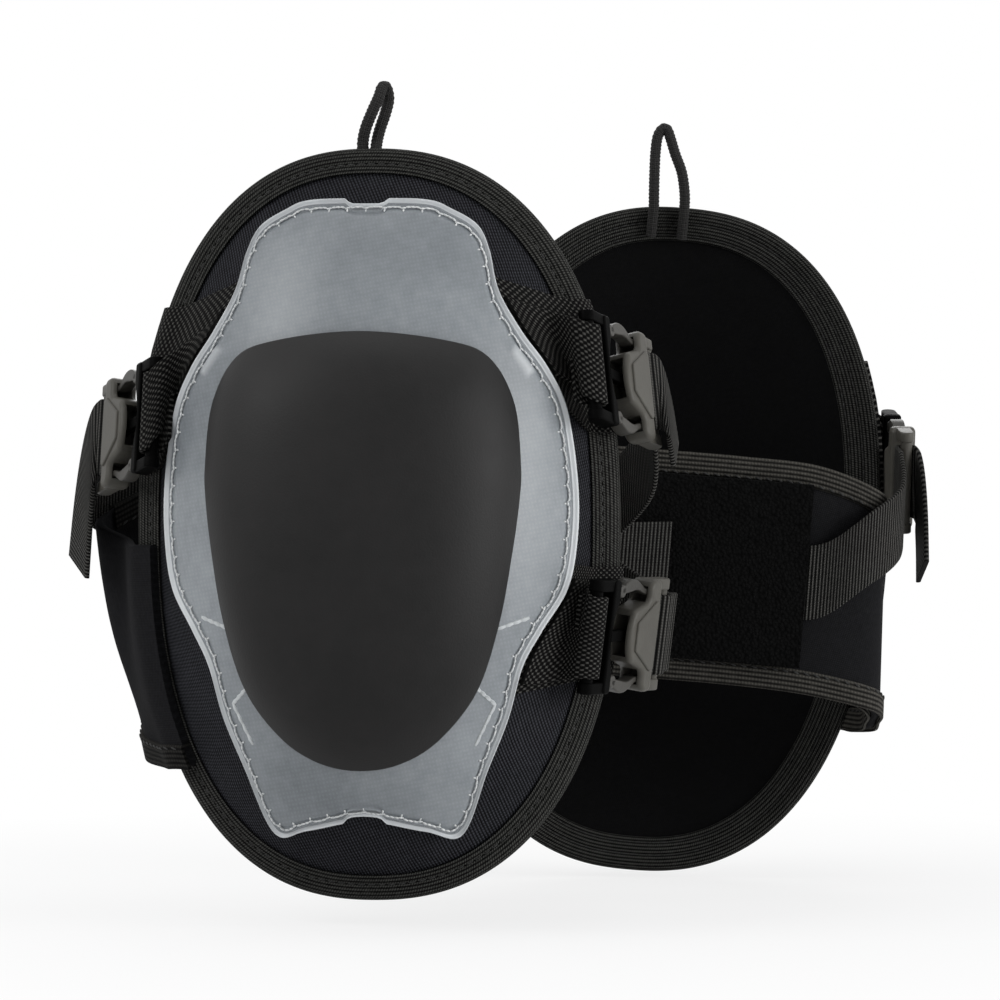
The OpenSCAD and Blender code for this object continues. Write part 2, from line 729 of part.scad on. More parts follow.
in_front() lining();  // front_lining
in_front() foam_core();  // front_foam_core
in_front() gel_insert();  // front_gel_insert
in_front() cover();  // front_cover
in_front() edge_binding();  // front_edge_binding
in_front() flange();  // front_flange
in_front() cap();  // front_cap
in_front() hang_loop(front_loop_route);  // front_hang_loop
in_front() webbing_tabs(front_upper, front_left);  // front_webbing_tabs
front_upper_left() plug();  // front_upper_left_plug
front_upper_left() socket();  // front_upper_left_socket
front_upper_left() prong();  // front_upper_left_top_prong
front_upper_left() flip() prong();  // front_upper_left_bottom_prong
front_upper_right() plug();  // front_upper_right_plug
front_upper_right() socket();  // front_upper_right_socket
front_upper_right() prong();  // front_upper_right_top_prong
front_upper_right() flip() prong();  // front_upper_right_bottom_prong
front_lower_right() plug();  // front_lower_right_plug
front_lower_right() socket();  // front_lower_right_socket
front_lower_right() prong();  // front_lower_right_top_prong
front_lower_right() flip() prong();  // front_lower_right_bottom_prong
in_front() calf_strap(front_fold);  // front_calf_strap
in_front() calf_strap_tape(front_fold);  // front_calf_strap_tape
in_front() pile_panel();  // front_pile_panel
in_front() thigh_strap(front_left, front_upper, front_tails, front_fold);  // front_thigh_strap
in_front() calf_elastic(lower);  // front_calf_elastic
in_rear() lining();  // rear_lining
in_rear() foam_core();  // rear_foam_core
in_rear() gel_insert();  // rear_gel_insert
in_rear() cover();  // rear_cover
in_rear() edge_binding();  // rear_edge_binding
in_rear() flange();  // rear_flange
in_rear() cap();  // rear_cap
in_rear() hang_loop(rear_loop_route);  // rear_hang_loop
in_rear() webbing_tabs(rear_upper, rear_left);  // rear_webbing_tabs
rear_upper_left() plug();  // rear_upper_left_plug
rear_upper_left() socket();  // rear_upper_left_socket
rear_upper_left() prong();  // rear_upper_left_top_prong
rear_upper_left() flip() prong();  // rear_upper_left_bottom_prong
rear_upper_right() plug();  // rear_upper_right_plug
rear_upper_right() socket();  // rear_upper_right_socket
rear_upper_right() prong();  // rear_upper_right_top_prong
rear_upper_right() flip() prong();  // rear_upper_right_bottom_prong
rear_lower_right() plug();  // rear_lower_right_plug
rear_lower_right() socket();  // rear_lower_right_socket
rear_lower_right() prong();  // rear_lower_right_top_prong
rear_lower_right() flip() prong();  // rear_lower_right_bottom_prong
in_rear() calf_strap(rear_fold);  // rear_calf_strap
in_rear() calf_strap_tape(rear_fold);  // rear_calf_strap_tape
in_rear() pile_panel();  // rear_pile_panel
in_rear() thigh_strap(rear_left, rear_upper, rear_tails, rear_fold);  // rear_thigh_strap
in_rear() calf_elastic(lower);  // rear_calf_elastic
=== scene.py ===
"""A pair of hard-cap knee pads that hang from their cord loops, the front one with its cap to the camera.

Lengths are in millimetres in each pad's own frame: X to the right seen from the cap side, Y from the cap
towards the leg, Z up, from the deepest point of the lining.
"""

import bisect
import math

import bmesh
import bpy
from mathutils import Matrix, Vector, noise


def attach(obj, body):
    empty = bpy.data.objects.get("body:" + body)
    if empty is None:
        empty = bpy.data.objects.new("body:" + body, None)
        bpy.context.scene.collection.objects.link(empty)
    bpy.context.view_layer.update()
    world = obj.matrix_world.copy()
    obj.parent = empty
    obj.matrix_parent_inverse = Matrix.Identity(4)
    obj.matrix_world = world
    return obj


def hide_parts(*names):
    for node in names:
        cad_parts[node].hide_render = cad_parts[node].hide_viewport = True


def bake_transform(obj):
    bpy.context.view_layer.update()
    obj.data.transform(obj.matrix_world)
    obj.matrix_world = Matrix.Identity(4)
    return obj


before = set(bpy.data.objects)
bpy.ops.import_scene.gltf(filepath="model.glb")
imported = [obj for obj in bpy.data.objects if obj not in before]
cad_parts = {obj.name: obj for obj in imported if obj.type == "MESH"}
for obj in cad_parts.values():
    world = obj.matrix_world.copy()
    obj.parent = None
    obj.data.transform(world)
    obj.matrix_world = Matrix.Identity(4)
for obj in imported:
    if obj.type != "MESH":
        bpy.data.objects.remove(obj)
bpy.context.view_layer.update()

# Camera

lens = bpy.data.cameras.new("camera")
lens.sensor_width = 36
lens.lens = 149.1
camera = bpy.data.objects.new("camera", lens)
camera.location = (0.0356, -1.275, -0.1251)
camera.rotation_euler = (math.pi / 2, 0, 0)
bpy.context.scene.collection.objects.link(camera)
bpy.context.scene.camera = camera

# Sizes of the solids

half_w, half_h, squareness = 75.0, 115.0, 2.35
side_wrap, end_wrap = 34.0, 20.0
pad_t, rim_t, crown_power = 24.0, 5.0, 3.5
binding_w, binding_t, lining_t = 8.0, 1.2, 3.0
layer_gap, seat_gap, run_gap, sleeve_gap = 0.3, 0.5, 0.3, 0.6
flange_t, flange_w, flange_h = 2.2, 122.0, 192.0
cap_w, cap_h, cap_rise, cap_seat, cap_lip = 89.0, 128.0, 8.0, 5.0, 1.6
web_w, web_t = 25.0, 1.6
bar_r, socket_bar_x = 2.0, 38.9
buckle_half, rail_in, rail_half = 17.5, 13.9, 2.5
calf_h, calf_t, calf_tape_w, calf_tape_t = 76.0, 3.0, 8.0, 0.9
calf_top, sleeve_end = 30.0, 53.0
calf_bottom = calf_top - calf_h
loop_depth, pile_h, pile_t, cord_d = 73.0, 61.0, 2.0, 3.6
calf_back = loop_depth + calf_t / 2
seam_y = side_wrap + calf_t / 2 + 5
sleeve_back = loop_depth + calf_t + sleeve_gap + web_t / 2
pile_back = sleeve_back + web_t / 2 + sleeve_gap + pile_t / 2
elastic_back = pile_back + pile_t / 2 + layer_gap + web_t / 2
pile_z = calf_top - calf_h / 2
strap_z = pile_z - 2
cap_base = 2 * seat_gap + flange_t
turn_r = bar_r + run_gap + web_t / 2

front_loop = [
    (-4, 20.2, 104), (-4, 21.9, 109), (-4, 23.6, 114), (-4, 24.2, 118), (-3, 23.5, 122), (-1, 22.5, 126.6),
    (1, 22.5, 131), (2, 24, 134.3), (3, 26, 134.3), (3.5, 27.5, 131), (2.5, 27.5, 126.6), (1, 27, 122),
    (0.2, 25.5, 118), (0, 23.4, 114), (0, 21.7, 109), (0, 20, 104),
]
rear_loop = [
    (11, 21, 104), (11, 22.7, 109), (11, 24.3, 114), (11.4, 25, 119.5), (11.8, 25, 126.5), (12, 25, 132.7),
    (11.7, 25, 138), (10.3, 25, 140.8), (8.7, 25, 140.8), (7.3, 25, 138), (5.2, 25, 132.7),
    (2.4, 25, 126.5), (0.8, 24.5, 119.5), (0.4, 23.5, 114), (0.4, 21.9, 109), (0.4, 20.2, 104),
]
flange_half = [
    (0, 0.505), (0.14, 0.504), (0.2, 0.49), (0.26, 0.466), (0.29, 0.427), (0.315, 0.363), (0.37, 0.3),
    (0.43, 0.245), (0.475, 0.18), (0.5, 0.07), (0.5, -0.02), (0.478, -0.1), (0.42, -0.165), (0.375, -0.22),
    (0.34, -0.3), (0.29, -0.38), (0.225, -0.482), (0.14, -0.475), (0, -0.458),
]
cap_half = [
    (0, 0.44), (0.27, 0.42), (0.4, 0.383), (0.478, 0.28), (0.5, 0.14), (0.497, 0.06), (0.475, -0.065),
    (0.435, -0.225), (0.365, -0.38), (0.25, -0.488), (0.13, -0.543), (0, -0.56),
]
# Each buckle's bar, and the pull's turn out, its drop and its lean
lower_place = ((half_w - 7.5, side_wrap - 26.5, -34), (27, 0, 8))
places = {
    "front": {
        "upper_right": ((half_w - 7.5, side_wrap - 25.5, 48), (24, 11.5, -12)),
        "upper_left": ((half_w - 8.5, side_wrap - 25, 34), (32, 11.5, -8)),
        "lower_right": lower_place,
    },
    "rear": {
        "upper_right": ((half_w + 1, side_wrap - 20, 48), (8, 11.5, -12)),
        "upper_left": ((half_w + 2.5, side_wrap - 22, 34), (5, 11.5, -5)),
        "lower_right": lower_place,
    },
}
# Each thigh strap's tail, left and right: its reach, its drop and the lean of its end
tails = {"front": ((4, 40, 0.4), (2, 20, 0)), "rear": ((2, 30, 0), (2, 20, 0))}
# How far out each calf strap's fold comes, its sag and its lean
folds = {"front": (8.5, 15, 1.35), "rear": (-1, 0, -0.35)}
loops = {"front": front_loop, "rear": rear_loop}


def hook_of(route):
    """Where a loop hangs: under the middle of its top."""
    return (Vector(route[7]) + Vector(route[8])) / 2 - Vector((0, 0, cord_d / 2))


def turned(degrees, axis):
    return Matrix.Rotation(math.radians(degrees), 4, axis)


to_metres = Matrix.Scale(0.001, 4)
stands = {
    "front": to_metres @ turned(-5, "Z") @ Matrix.Translation(-hook_of(front_loop)),
    "rear": to_metres @ Matrix.Translation((92.2, 152, 0.8)) @ turned(4.8, "Y") @ turned(180, "Z")
    @ Matrix.Translation(-hook_of(rear_loop)),
}

# Curves and surfaces


def lerp(a, b, t):
    return a + (b - a) * t


def ease(low, high, x):
    t = min(max((x - low) / (high - low), 0), 1)
    return t * t * (3 - 2 * t)


def catmull(a, b, c, d, t):
    square, cube = 2 * a - 5 * b + 4 * c - d, 3 * b - a - 3 * c + d
    return (2 * b + (c - a) * t + square * t * t + cube * t * t * t) / 2


def smooth(points, steps):
    last = len(points) - 1
    line = [
        catmull(points[max(i - 1, 0)], points[i], points[i + 1], points[min(i + 2, last)], k / steps)
        for i in range(last) for k in range(steps)
    ]
    return line + [points[last]]


class Way:
    """A fine line of points, walked by length."""

    def __init__(self, points, closed=False):
        self.points = points + points[:1] if closed else points
        self.marks = [0.0]
        for a, b in zip(self.points, self.points[1:]):
            self.marks.append(self.marks[-1] + (b - a).length)
        self.length = self.marks[-1]

    def find(self, distance):
        i = min(max(bisect.bisect_right(self.marks, distance) - 1, 0), len(self.marks) - 2)
        span = self.marks[i + 1] - self.marks[i]
        return i, (distance - self.marks[i]) / span if span else 0.0

    def at(self, distance):
        i, t = self.find(distance)
        return lerp(self.points[i], self.points[i + 1], t)

    def along(self, distance):
        return (self.at(distance + 0.4) - self.at(distance - 0.4)).normalized()


def oval(inset, angle):
    c, s, e = math.cos(angle), math.sin(angle), 2 / squareness
    return Vector((
        (half_w - inset) * math.copysign(abs(c) ** e, c), 0, (half_h - inset) * math.copysign(abs(s) ** e, s)
    ))


def rim_x(z):
    """How far out the rim is on the right at a height."""
    return half_w * (1 - (abs(z) / half_h) ** squareness) ** (1 / squareness)


rim_steps = 1600
rim_way = Way([oval(0, k * 2 * math.pi / rim_steps) for k in range(rim_steps)], closed=True)


def rim_angle(share):
    i, t = rim_way.find((share % 1) * rim_way.length)
    return (i + t) * 2 * math.pi / rim_steps


def cup(p):
    return side_wrap * (p.x / half_w) ** 2 + end_wrap * (p.z / half_h) ** 2


def share_of(p):
    e = squareness
    return ((abs(p.x) / (half_w - binding_w)) ** e + (abs(p.z) / (half_h - binding_w)) ** e) ** (1 / e)


def front_y(p):
    return cup(p) - rim_t - (pad_t - rim_t) * (1 - min(share_of(p), 1) ** crown_power)


def outside_y(p):
    return front_y(p) - binding_t * (1 - (1 - min(share_of(p) ** 12, 1)) ** 2)


def on_outside(p, rise):
    dx, dz = Vector((0.5, 0, 0)), Vector((0, 0, 0.5))
    normal = Vector((outside_y(p + dx) - outside_y(p - dx), -1, outside_y(p + dz) - outside_y(p - dz)))
    return Vector((p.x, outside_y(p), p.z)) + normal.normalized() * rise


def on_cup(p, back):
    return Vector((p.x, cup(p) - back, p.z))


def wander(p, size, seed=0.0):
    """A smooth wandering number from -1 to 1 over the pad."""
    return noise.noise(Vector((p.x, p.y + seed, p.z)) / size)


class Buckle:
    """Where a buckle sits: points along its pull, across it and out of its face."""

    def __init__(self, place):
        out, drop, lean = (math.radians(a) for a in place[1])
        self.bar = Vector(place[0])
        self.pull = Vector((
            math.sin(out) * math.cos(drop), math.cos(out) * math.cos(drop), -math.sin(drop)
        ))
        rise = Vector((math.sin(out) * math.sin(drop), math.cos(out) * math.sin(drop), math.cos(drop)))
        self.across = rise * math.cos(lean) + self.pull.cross(rise) * math.sin(lean)
        self.face = self.pull.cross(self.across)

        self.frame = Matrix((self.pull, self.across, self.face)).transposed().to_4x4()
        self.frame.translation = self.bar

    def point(self, x, y, z):
        return self.bar + self.pull * x + self.across * y + self.face * z


# Finishes: a small class turns sums into Math nodes


class Tone:
    """A number that varies over a surface, and lays its own Math nodes when it is reckoned with."""

    def __init__(self, tree, socket):
        self.tree, self.socket = tree, socket

    def reckon(self, operation, *terms):
        node = self.tree.nodes.new("ShaderNodeMath")
        node.operation = operation
        for slot, term in zip(node.inputs, terms):
            if isinstance(term, Tone):
                self.tree.links.new(term.socket, slot)
            else:
                slot.default_value = term
        return Tone(self.tree, node.outputs[0])

    def method(operation):
        """A method that lays one Math node for an operation on the tone and what else it is given."""
        return lambda self, *terms: self.reckon(operation, self, *terms)

    __add__ = __radd__ = method("ADD")
    __mul__ = __rmul__ = method("MULTIPLY")
    __sub__, __truediv__, __pow__ = method("SUBTRACT"), method("DIVIDE"), method("POWER")
    __abs__, sine, most, least = method("ABSOLUTE"), method("SINE"), method("MAXIMUM"), method("MINIMUM")

    def __rsub__(self, other):
        return self.reckon("SUBTRACT", other, self)

    def rows(self, pitch):
        """Rounded rows of the given pitch, from 0 in the gaps to 1 on the crowns."""
        return (self * (2 * math.pi / pitch)).sine() * 0.5 + 0.5

    def waves(self, pitch):
        return self.rows(pitch) * 2 - 1

    def held(self):
        """The tone kept from 0 to 1."""
        return self.most(0.0).least(1.0)


def ink(red, green, blue):
    """A colour from its eight-bit screen values."""
    linear = (((c / 255 + 0.055) / 1.055) ** 2.4 if c > 10 else c / 255 / 12.92 for c in (red, green, blue))
    return (*linear, 1)


class Finish:
    """A material: fixed values on its shader, and nodes for what varies."""

    def __init__(self, name, **fixed):
        self.material = bpy.data.materials.new(name)
        self.material.use_nodes = True
        self.tree = self.material.node_tree
        self.shader = self.tree.nodes["Principled BSDF"]
        for socket, value in fixed.items():
            self.shader.inputs[socket.replace("_", " ")].default_value = value

    def node(self, kind, settings=None, sockets=None, out=0):
        node = self.tree.nodes.new(kind)
        for key, value in (settings or {}).items():
            if key == "stops":
                for k, (place, colour) in enumerate(value):
                    stop = node.color_ramp.elements[k] if k < 2 else node.color_ramp.elements.new(place)
                    stop.position, stop.color = place, colour
            else:
                setattr(node, key, value)
        for key, value in (sockets or {}).items():
            self.join(value, node.inputs[key])
        return Tone(self.tree, node.outputs[out])

    def join(self, value, socket):
        if isinstance(value, Tone):
            self.tree.links.new(value.socket, socket)
        else:
            socket.default_value = value

    def vary(self, **sockets):
        for socket, value in sockets.items():
            self.join(value, self.shader.inputs[socket.replace("_", " ")])
        return self

    def axes(self, vector, names):
        return [self.node("ShaderNodeSeparateXYZ", None, {"Vector": vector}, axis) for axis in names]

    def cloth(self):
        """The place on the flat cloth, along and across, in millimetres."""
        return self.axes(self.node("ShaderNodeUVMap", {"uv_map": "cloth"}), "XY")

    def place(self):
        return self.node("ShaderNodeTexCoord", out="Object")

    def speckle(self, scale, detail=2.0, roughness=0.5):
        sockets = {"Vector": self.place(), "Scale": scale, "Detail": detail, "Roughness": roughness}
        return self.node("ShaderNodeTexNoise", None, sockets)

    def ramp(self, value, *stops):
        return self.node("ShaderNodeValToRGB", {"stops": stops}, {0: value})

    def blend(self, share, a, b):
        """A mix of two colours; a Mix node has its colours as inputs 6 and 7 and their mix as output 2."""
        return self.node("ShaderNodeMix", {"data_type": "RGBA"}, {0: share, 6: a, 7: b}, 2)

    def relief(self, height, depth):
        sockets = {"Height": height, "Distance": depth * 0.001, "Strength": 1.0}
        return self.node("ShaderNodeBump", None, sockets)


def knit(name, low, high, weave, depth, gloss=0.05, roughness=0.8):
    """A cloth whose weave goes from low in its gaps to high on its threads; the low colour in the gaps is
    painted shade.
    """
    finish = Finish(name, Roughness=roughness, Specular_IOR_Level=gloss)
    height = weave(finish, *finish.cloth())
    worn = finish.speckle(90, 3.0)
    # Painted shade: the colour goes darker with the weave's depth, into the gaps between threads, by a random
    # amount.
    shade = (height * (0.75 + 0.5 * worn)).least(1.0)
    return finish.vary(
        Base_Color=finish.ramp(shade, (0.0, low), (1.0, high)), Normal=finish.relief(height, depth)
    ).material


def basket(finish, u, v):
    return (u.waves(2.1) * v.waves(2.1) * 1.1 + 0.1 + 0.35 * (finish.speckle(900) - 0.5)).held()


def ribbed_tape(finish, u, v):
    knots = v.rows(1.15) * (u + 0.5 * v).rows(0.85)
    return (1.1 * knots + 0.3 * v.rows(1.15) + 0.5 * (finish.speckle(700) - 0.5)).held()


def fine_ribs(finish, u, v):
    drift = 4 * finish.speckle(24, 1.0)
    rib = (u + 0.35 * v + drift).rows(1.1)
    return (rib * (0.4 + 0.75 * (v - 0.35 * u).rows(1.25)) + 0.3 * (finish.speckle(500) - 0.5)).held()


def cross_ribs(finish, u, v):
    return u.rows(1.25) ** 1.6 * (0.6 + 0.4 * v.rows(0.9)) + 0.2 * (finish.speckle(600) - 0.5)


def long_ribs(finish, u, v):
    return v.rows(1.55) * (0.6 + 0.4 * u.rows(1.1)) + 0.4 * (finish.speckle(420) - 0.5)


def braid(finish, u, v):
    return (u + v).waves(1.3) * (u - v).waves(1.3) * 0.5 + 0.5


def smooth_knit(finish, u, v):
    return (u + 0.3 * v).rows(0.7) * v.rows(0.5) * 0.5 + finish.speckle(800) * 0.5


def short_pile(finish, u, v):
    tufts = finish.node("ShaderNodeTexVoronoi", {"feature": "F1"}, {"Vector": finish.place(), "Scale": 900.0})
    return (1.1 - tufts * 1.3) * 0.6 + finish.speckle(350, 4.0, 0.7) * 0.5


cover_fabric = knit("cover_fabric", ink(6, 6, 7), ink(60, 61, 66), fine_ribs, 0.3, 0.06)
binding_tape = knit("binding_tape", ink(4, 4, 4), ink(74, 74, 71), ribbed_tape, 0.4)
webbing = knit("webbing", ink(3, 3, 3), ink(84, 83, 80), basket, 0.6, 0.06)
elastic = knit("elastic", ink(5, 5, 5), ink(92, 91, 88), cross_ribs, 0.45, 0.06)
# One calf tape on both pads, in two tones: the front pad's copy is painted darker as shade, the rear pad's
# copy lighter as lit.
shaded_and_lit_calf_tapes = {
    "front": knit("front_calf_tape_shaded", ink(8, 8, 8), ink(44, 43, 41), long_ribs, 0.35),
    "rear": knit("rear_calf_tape_lit", ink(22, 21, 20), ink(84, 82, 77), long_ribs, 0.35),
}
cord_braid = knit("cord_braid", ink(6, 6, 6), ink(48, 47, 46), braid, 0.25, 0.25)
calf_neoprene = knit("calf_neoprene", ink(17, 17, 18), ink(40, 40, 42), smooth_knit, 0.12, roughness=0.95)
lining_neoprene = knit("lining_neoprene", ink(7, 7, 7), ink(22, 22, 23), smooth_knit, 0.12, roughness=0.95)
loop_pile = knit("loop_pile", ink(2, 2, 2), ink(19, 19, 19), short_pile, 0.8, roughness=1.0)


def thread(name, low, high):
    finish = Finish(name, Roughness=0.65, Specular_IOR_Level=0.3)
    twist = finish.speckle(1200, 2.0)
    colour = finish.ramp(twist, (0.3, low), (0.7, high))
    return finish.vary(Base_Color=colour, Normal=finish.relief(twist, 0.15)).material


white_thread = thread("white_thread", ink(196, 199, 200), ink(236, 237, 236))
black_thread = thread("black_thread", ink(14, 14, 14), ink(52, 52, 51))


def moulded(name, low, high, roughness, grain, gloss):
    """A moulded plastic or rubber with a fine grain, cloudy gloss and handling marks."""
    finish = Finish(name, Specular_IOR_Level=gloss)
    cloud = finish.speckle(28, 4.0)
    skin = finish.speckle(1500)
    rub = finish.speckle(160, 5.0, 0.65)
    return finish.vary(
        Base_Color=finish.ramp(0.6 * cloud + 0.4 * rub, (0.3, low), (0.75, high)),
        Roughness=roughness + 0.22 * (cloud - 0.5) + 0.12 * (rub - 0.5),
        Normal=finish.relief(skin, grain),
    ).material


cap_rubber = moulded("cap_rubber", ink(17, 17, 17), ink(33, 32, 32), 0.55, 0.06, 0.2)
socket_plastic = moulded("socket_plastic", ink(64, 62, 57), ink(88, 86, 80), 0.46, 0.04, 0.22)
# The plug is the buckles' one plastic, painted near black as shade.
shaded_plug_plastic = moulded("shaded_plug_plastic", ink(3, 3, 3), ink(9, 9, 9), 0.5, 0.04, 0.02)
prong_plastic = moulded("prong_plastic", ink(46, 45, 42), ink(70, 68, 64), 0.42, 0.04, 0.25)
pale_plastic = moulded("pale_plastic", ink(176, 180, 182), ink(208, 211, 212), 0.35, 0.03, 0.3)


def clear_plastic():
    """A cloudy clear plastic: beads at its lip with a thin channel between, its outer bead painted bright and
    more opaque as a highlight, and pale creases.
    """
    finish = Finish("clear_flange", IOR=1.46)
    depth, fold = finish.cloth()
    cloud = finish.speckle(22, 4.0)
    scuff = finish.speckle(260, 5.0, 0.7)
    thin = 1 - ((abs(depth - 1.8) - 0.3) * 3).held()
    # Painted highlight: the lip's outer bead is painted near white and made more opaque.
    bead = 1 - ((abs(depth - 0.6) - 0.5) * 3).held()
    pale_crease_and_lip_highlight = (fold * 0.45).most(bead * 0.85)
    x, z = finish.axes(finish.place(), "XZ")
    pressed = (x + 0.2 * z).rows(0.0011) * (z - 0.2 * x).rows(0.0013)
    mottle = 0.6 * cloud + 0.3 * scuff + 0.1 * pressed
    body = finish.ramp(mottle, (0.2, ink(122, 128, 133)), (0.75, ink(172, 177, 181)))
    return finish.vary(
        Base_Color=finish.blend(pale_crease_and_lip_highlight, body, ink(222, 225, 227)),
        Roughness=0.34 + 0.2 * (scuff - 0.5),
        Alpha=(0.72 + 0.14 * (cloud - 0.5) + 0.1 * (scuff - 0.5) - 0.32 * thin + 0.25 * pale_crease_and_lip_highlight).least(1.0),
        Normal=finish.relief(scuff, 0.05),
    ).material


clear_flange = clear_plastic()

# Making pieces


def cloth_grid(lines):
    """A grid whose lines are points with their places on the flat cloth; meeting edges are welded."""
    across, along = len(lines) - 1, len(lines[0]) - 1
    bm = bmesh.new()
    bmesh.ops.create_grid(bm, x_segments=across, y_segments=along, size=0.5)
    flat = bm.loops.layers.uv.new("cloth")

    def pick(vert):
        return lines[round((vert.co.x + 0.5) * across)][round((vert.co.y + 0.5) * along)]

    for face in bm.faces:
        for loop in face.loops:
            loop[flat].uv = pick(loop.vert)[1]
    for vert in bm.verts:
        vert.co = pick(vert)[0]
    bmesh.ops.remove_doubles(bm, verts=bm.verts, dist=0.001)
    open_edges = [e for e in bm.edges if e.is_boundary]
    if open_edges:
        bmesh.ops.holes_fill(bm, edges=open_edges, sides=0)
    bmesh.ops.recalc_face_normals(bm, faces=bm.faces)
    return bm


def settle(name, bm, material, stand, sharp=50):
    """Makes the object from a bmesh in millimetres, where its pad stands."""
    bm.transform(stand)
    if stand.determinant() < 0:
        bmesh.ops.reverse_faces(bm, faces=bm.faces)
    mesh = bpy.data.meshes.new(name)
    bm.to_mesh(mesh)
    bm.free()
    mesh.materials.append(material)
    mesh.shade_smooth()
    mesh.set_sharp_from_angle(angle=math.radians(sharp))
    piece = bpy.data.objects.new(name, mesh)
    bpy.context.scene.collection.objects.link(piece)
    return piece


class Loft:
    """A band through rows of points, walked by its share of the way along."""

    def __init__(self, rows, fine=10):
        columns = [smooth([Vector(p) for p in column], fine) for column in zip(*rows)]
        self.rows = list(zip(*columns))
        self.way = Way([sum(row, Vector()) / len(row) for row in self.rows])
        self.length = self.way.length
        self.half = (self.rows[0][-1] - self.rows[0][0]).length / 2

    def row(self, share):
        i, t = self.way.find(min(max(share, 0), 1) * self.length)
        return [lerp(a, b, t) for a, b in zip(self.rows[i], self.rows[i + 1])]

    def frame(self, share):
        step = 0.6 / self.length
        back, here, on = self.row(share - step), self.row(share), self.row(share + step)
        return here, [b - a for a, b in zip(back, on)]

    @staticmethod
    def across(row, side):
        """The point at a side from -1 to 1, and the run across there."""
        x = (side + 1) / 2 * (len(row) - 1)
        i = min(int(x), len(row) - 2)
        ends = row[max(i - 1, 0)], row[i], row[i + 1], row[min(i + 2, len(row) - 1)]
        if len(row) == 2:
            return lerp(row[0], row[1], x), row[1] - row[0]
        t = x - i
        return catmull(*ends, t), catmull(*ends, t + 0.05) - catmull(*ends, t - 0.05)

    def point(self, side, share, rise=0.0):
        here, along = self.frame(share)
        p, run = self.across(here, side)
        lead = lerp(along[0], along[-1], (side + 1) / 2)
        return p + lead.cross(run).normalized() * rise


def flat_section(half, thick, cells=8):
    """Sides and rises round a strap's cross-section, with rounded edges."""
    r = thick / 2 / half
    corner = [(1 - r + r * math.sin(a), thick / 2 * math.cos(a)) for a in (0, 0.5, 1.0, math.pi / 2)]
    flat = [(-(1 - r) + 2 * (1 - r) * k / cells, thick / 2) for k in range(cells)]
    top = [(-s, h) for s, h in reversed(corner[1:])] + flat + corner[:-1]
    return top + [(-s, -h) for s, h in top]


def strap_lines(loft, section, step=1.3):
    """Lines for cloth_grid round a strap."""
    count = max(int(loft.length / step), 4)
    ring = section + section[:1]
    lines = []
    for k in range(count + 1):
        share = k / count
        flat = share * loft.length
        lines.append([(loft.point(side, share, rise), (flat, side * loft.half)) for side, rise in ring])
    return lines


def add_stitch(bm, p, along, up, length, radius):
    along = along.normalized()
    side = up.cross(along).normalized()
    turn = Matrix((along * length / 2, side * radius, along.cross(side) * radius)).transposed().to_4x4()
    bmesh.ops.create_uvsphere(
        bm, u_segments=6, v_segments=4, radius=1, matrix=Matrix.Translation(p) @ turn @ turned(90, "Y")
    )


def stitch_row(spots, length, radius):
    """Small thread stitches, given as places with the run and the face normal there."""
    bm = bmesh.new()
    for p, along, up in spots:
        add_stitch(bm, p, along, up, length, radius)
    return bm


def stitches_on(loft, side, rise, pitch, slant=0.0):
    """Places for stitches along a loft at one side of it, clear of its ends."""
    start, stop = 0.01, 0.99
    count = int(loft.length * (stop - start) / pitch)
    spots = []
    for k in range(count):
        share = lerp(start, stop, (k + 0.5) / count)
        here, along = loft.frame(share)
        p, run = loft.across(here, side)
        lead = along[len(along) // 2]
        up = lead.cross(run).normalized()
        spots.append((p + up * rise, lead.normalized() + run.normalized() * slant, up))
    return spots


# The pad's layers


def spokes(count, points_at):
    """Lines for cloth_grid from a pad's middle outwards and back, each with its points and its facing."""
    lines = []
    for i in range(count + 1):
        points, facing = points_at(i / count)
        marks = Way(points).marks
        lines.append([(p, (m * math.cos(facing), m * math.sin(facing))) for p, m in zip(points, marks)])
    return lines


def shares(count):
    return [k / count for k in range(count + 1)]


back_shares = (0.9, 0.6, 0.3, 0.0)
gathers = 46


def pad_cover():
    """The fabric-covered foam: a crowned closed form that pulls in to the rim."""

    def spoke(turn):
        angle = rim_angle(turn)
        inner, rim = oval(binding_w, angle), oval(binding_t + layer_gap, angle)
        points = []
        for s in shares(44):
            p = inner * s
            gather = ease(0.62, 0.98, s) * (1 - ease(0.97, 1.0, s))
            wave = math.sin(turn * 2 * math.pi * gathers + 2 * wander(p, 20))
            dimple = 0.5 * wander(p, 9, 40) + 0.35 * wave
            points.append(Vector((p.x, front_y(p) - gather * 0.55 * dimple, p.z)))
        foot = lining_t + layer_gap
        points += [on_cup(rim, rim_t), on_cup(rim, foot)] + [on_cup(inner * s, foot) for s in back_shares]
        return points, math.atan2(inner.z, inner.x)

    return cloth_grid(spokes(240, spoke))


def pad_lining():
    """The neoprene inside of the cup, slightly puffed between the binding and the middle."""

    def spoke(turn):
        angle = rim_angle(turn)
        inner, rim = oval(binding_w + 2, angle), oval(binding_t + layer_gap, angle)
        points = []
        for s in shares(40):
            p, flat = inner * s, 1 - ease(0.9, 1, s)
            points.append(on_cup(p, -(0.9 * ease(0.5, 0.86, s) * flat + 0.25 * wander(p, 26, 9) * flat)))
        foot = lining_t - 0.2
        points += [on_cup(rim, 0), on_cup(rim, foot)] + [on_cup(inner * s, foot) for s in back_shares]
        return points, math.atan2(inner.z, inner.x)

    return cloth_grid(spokes(200, spoke))


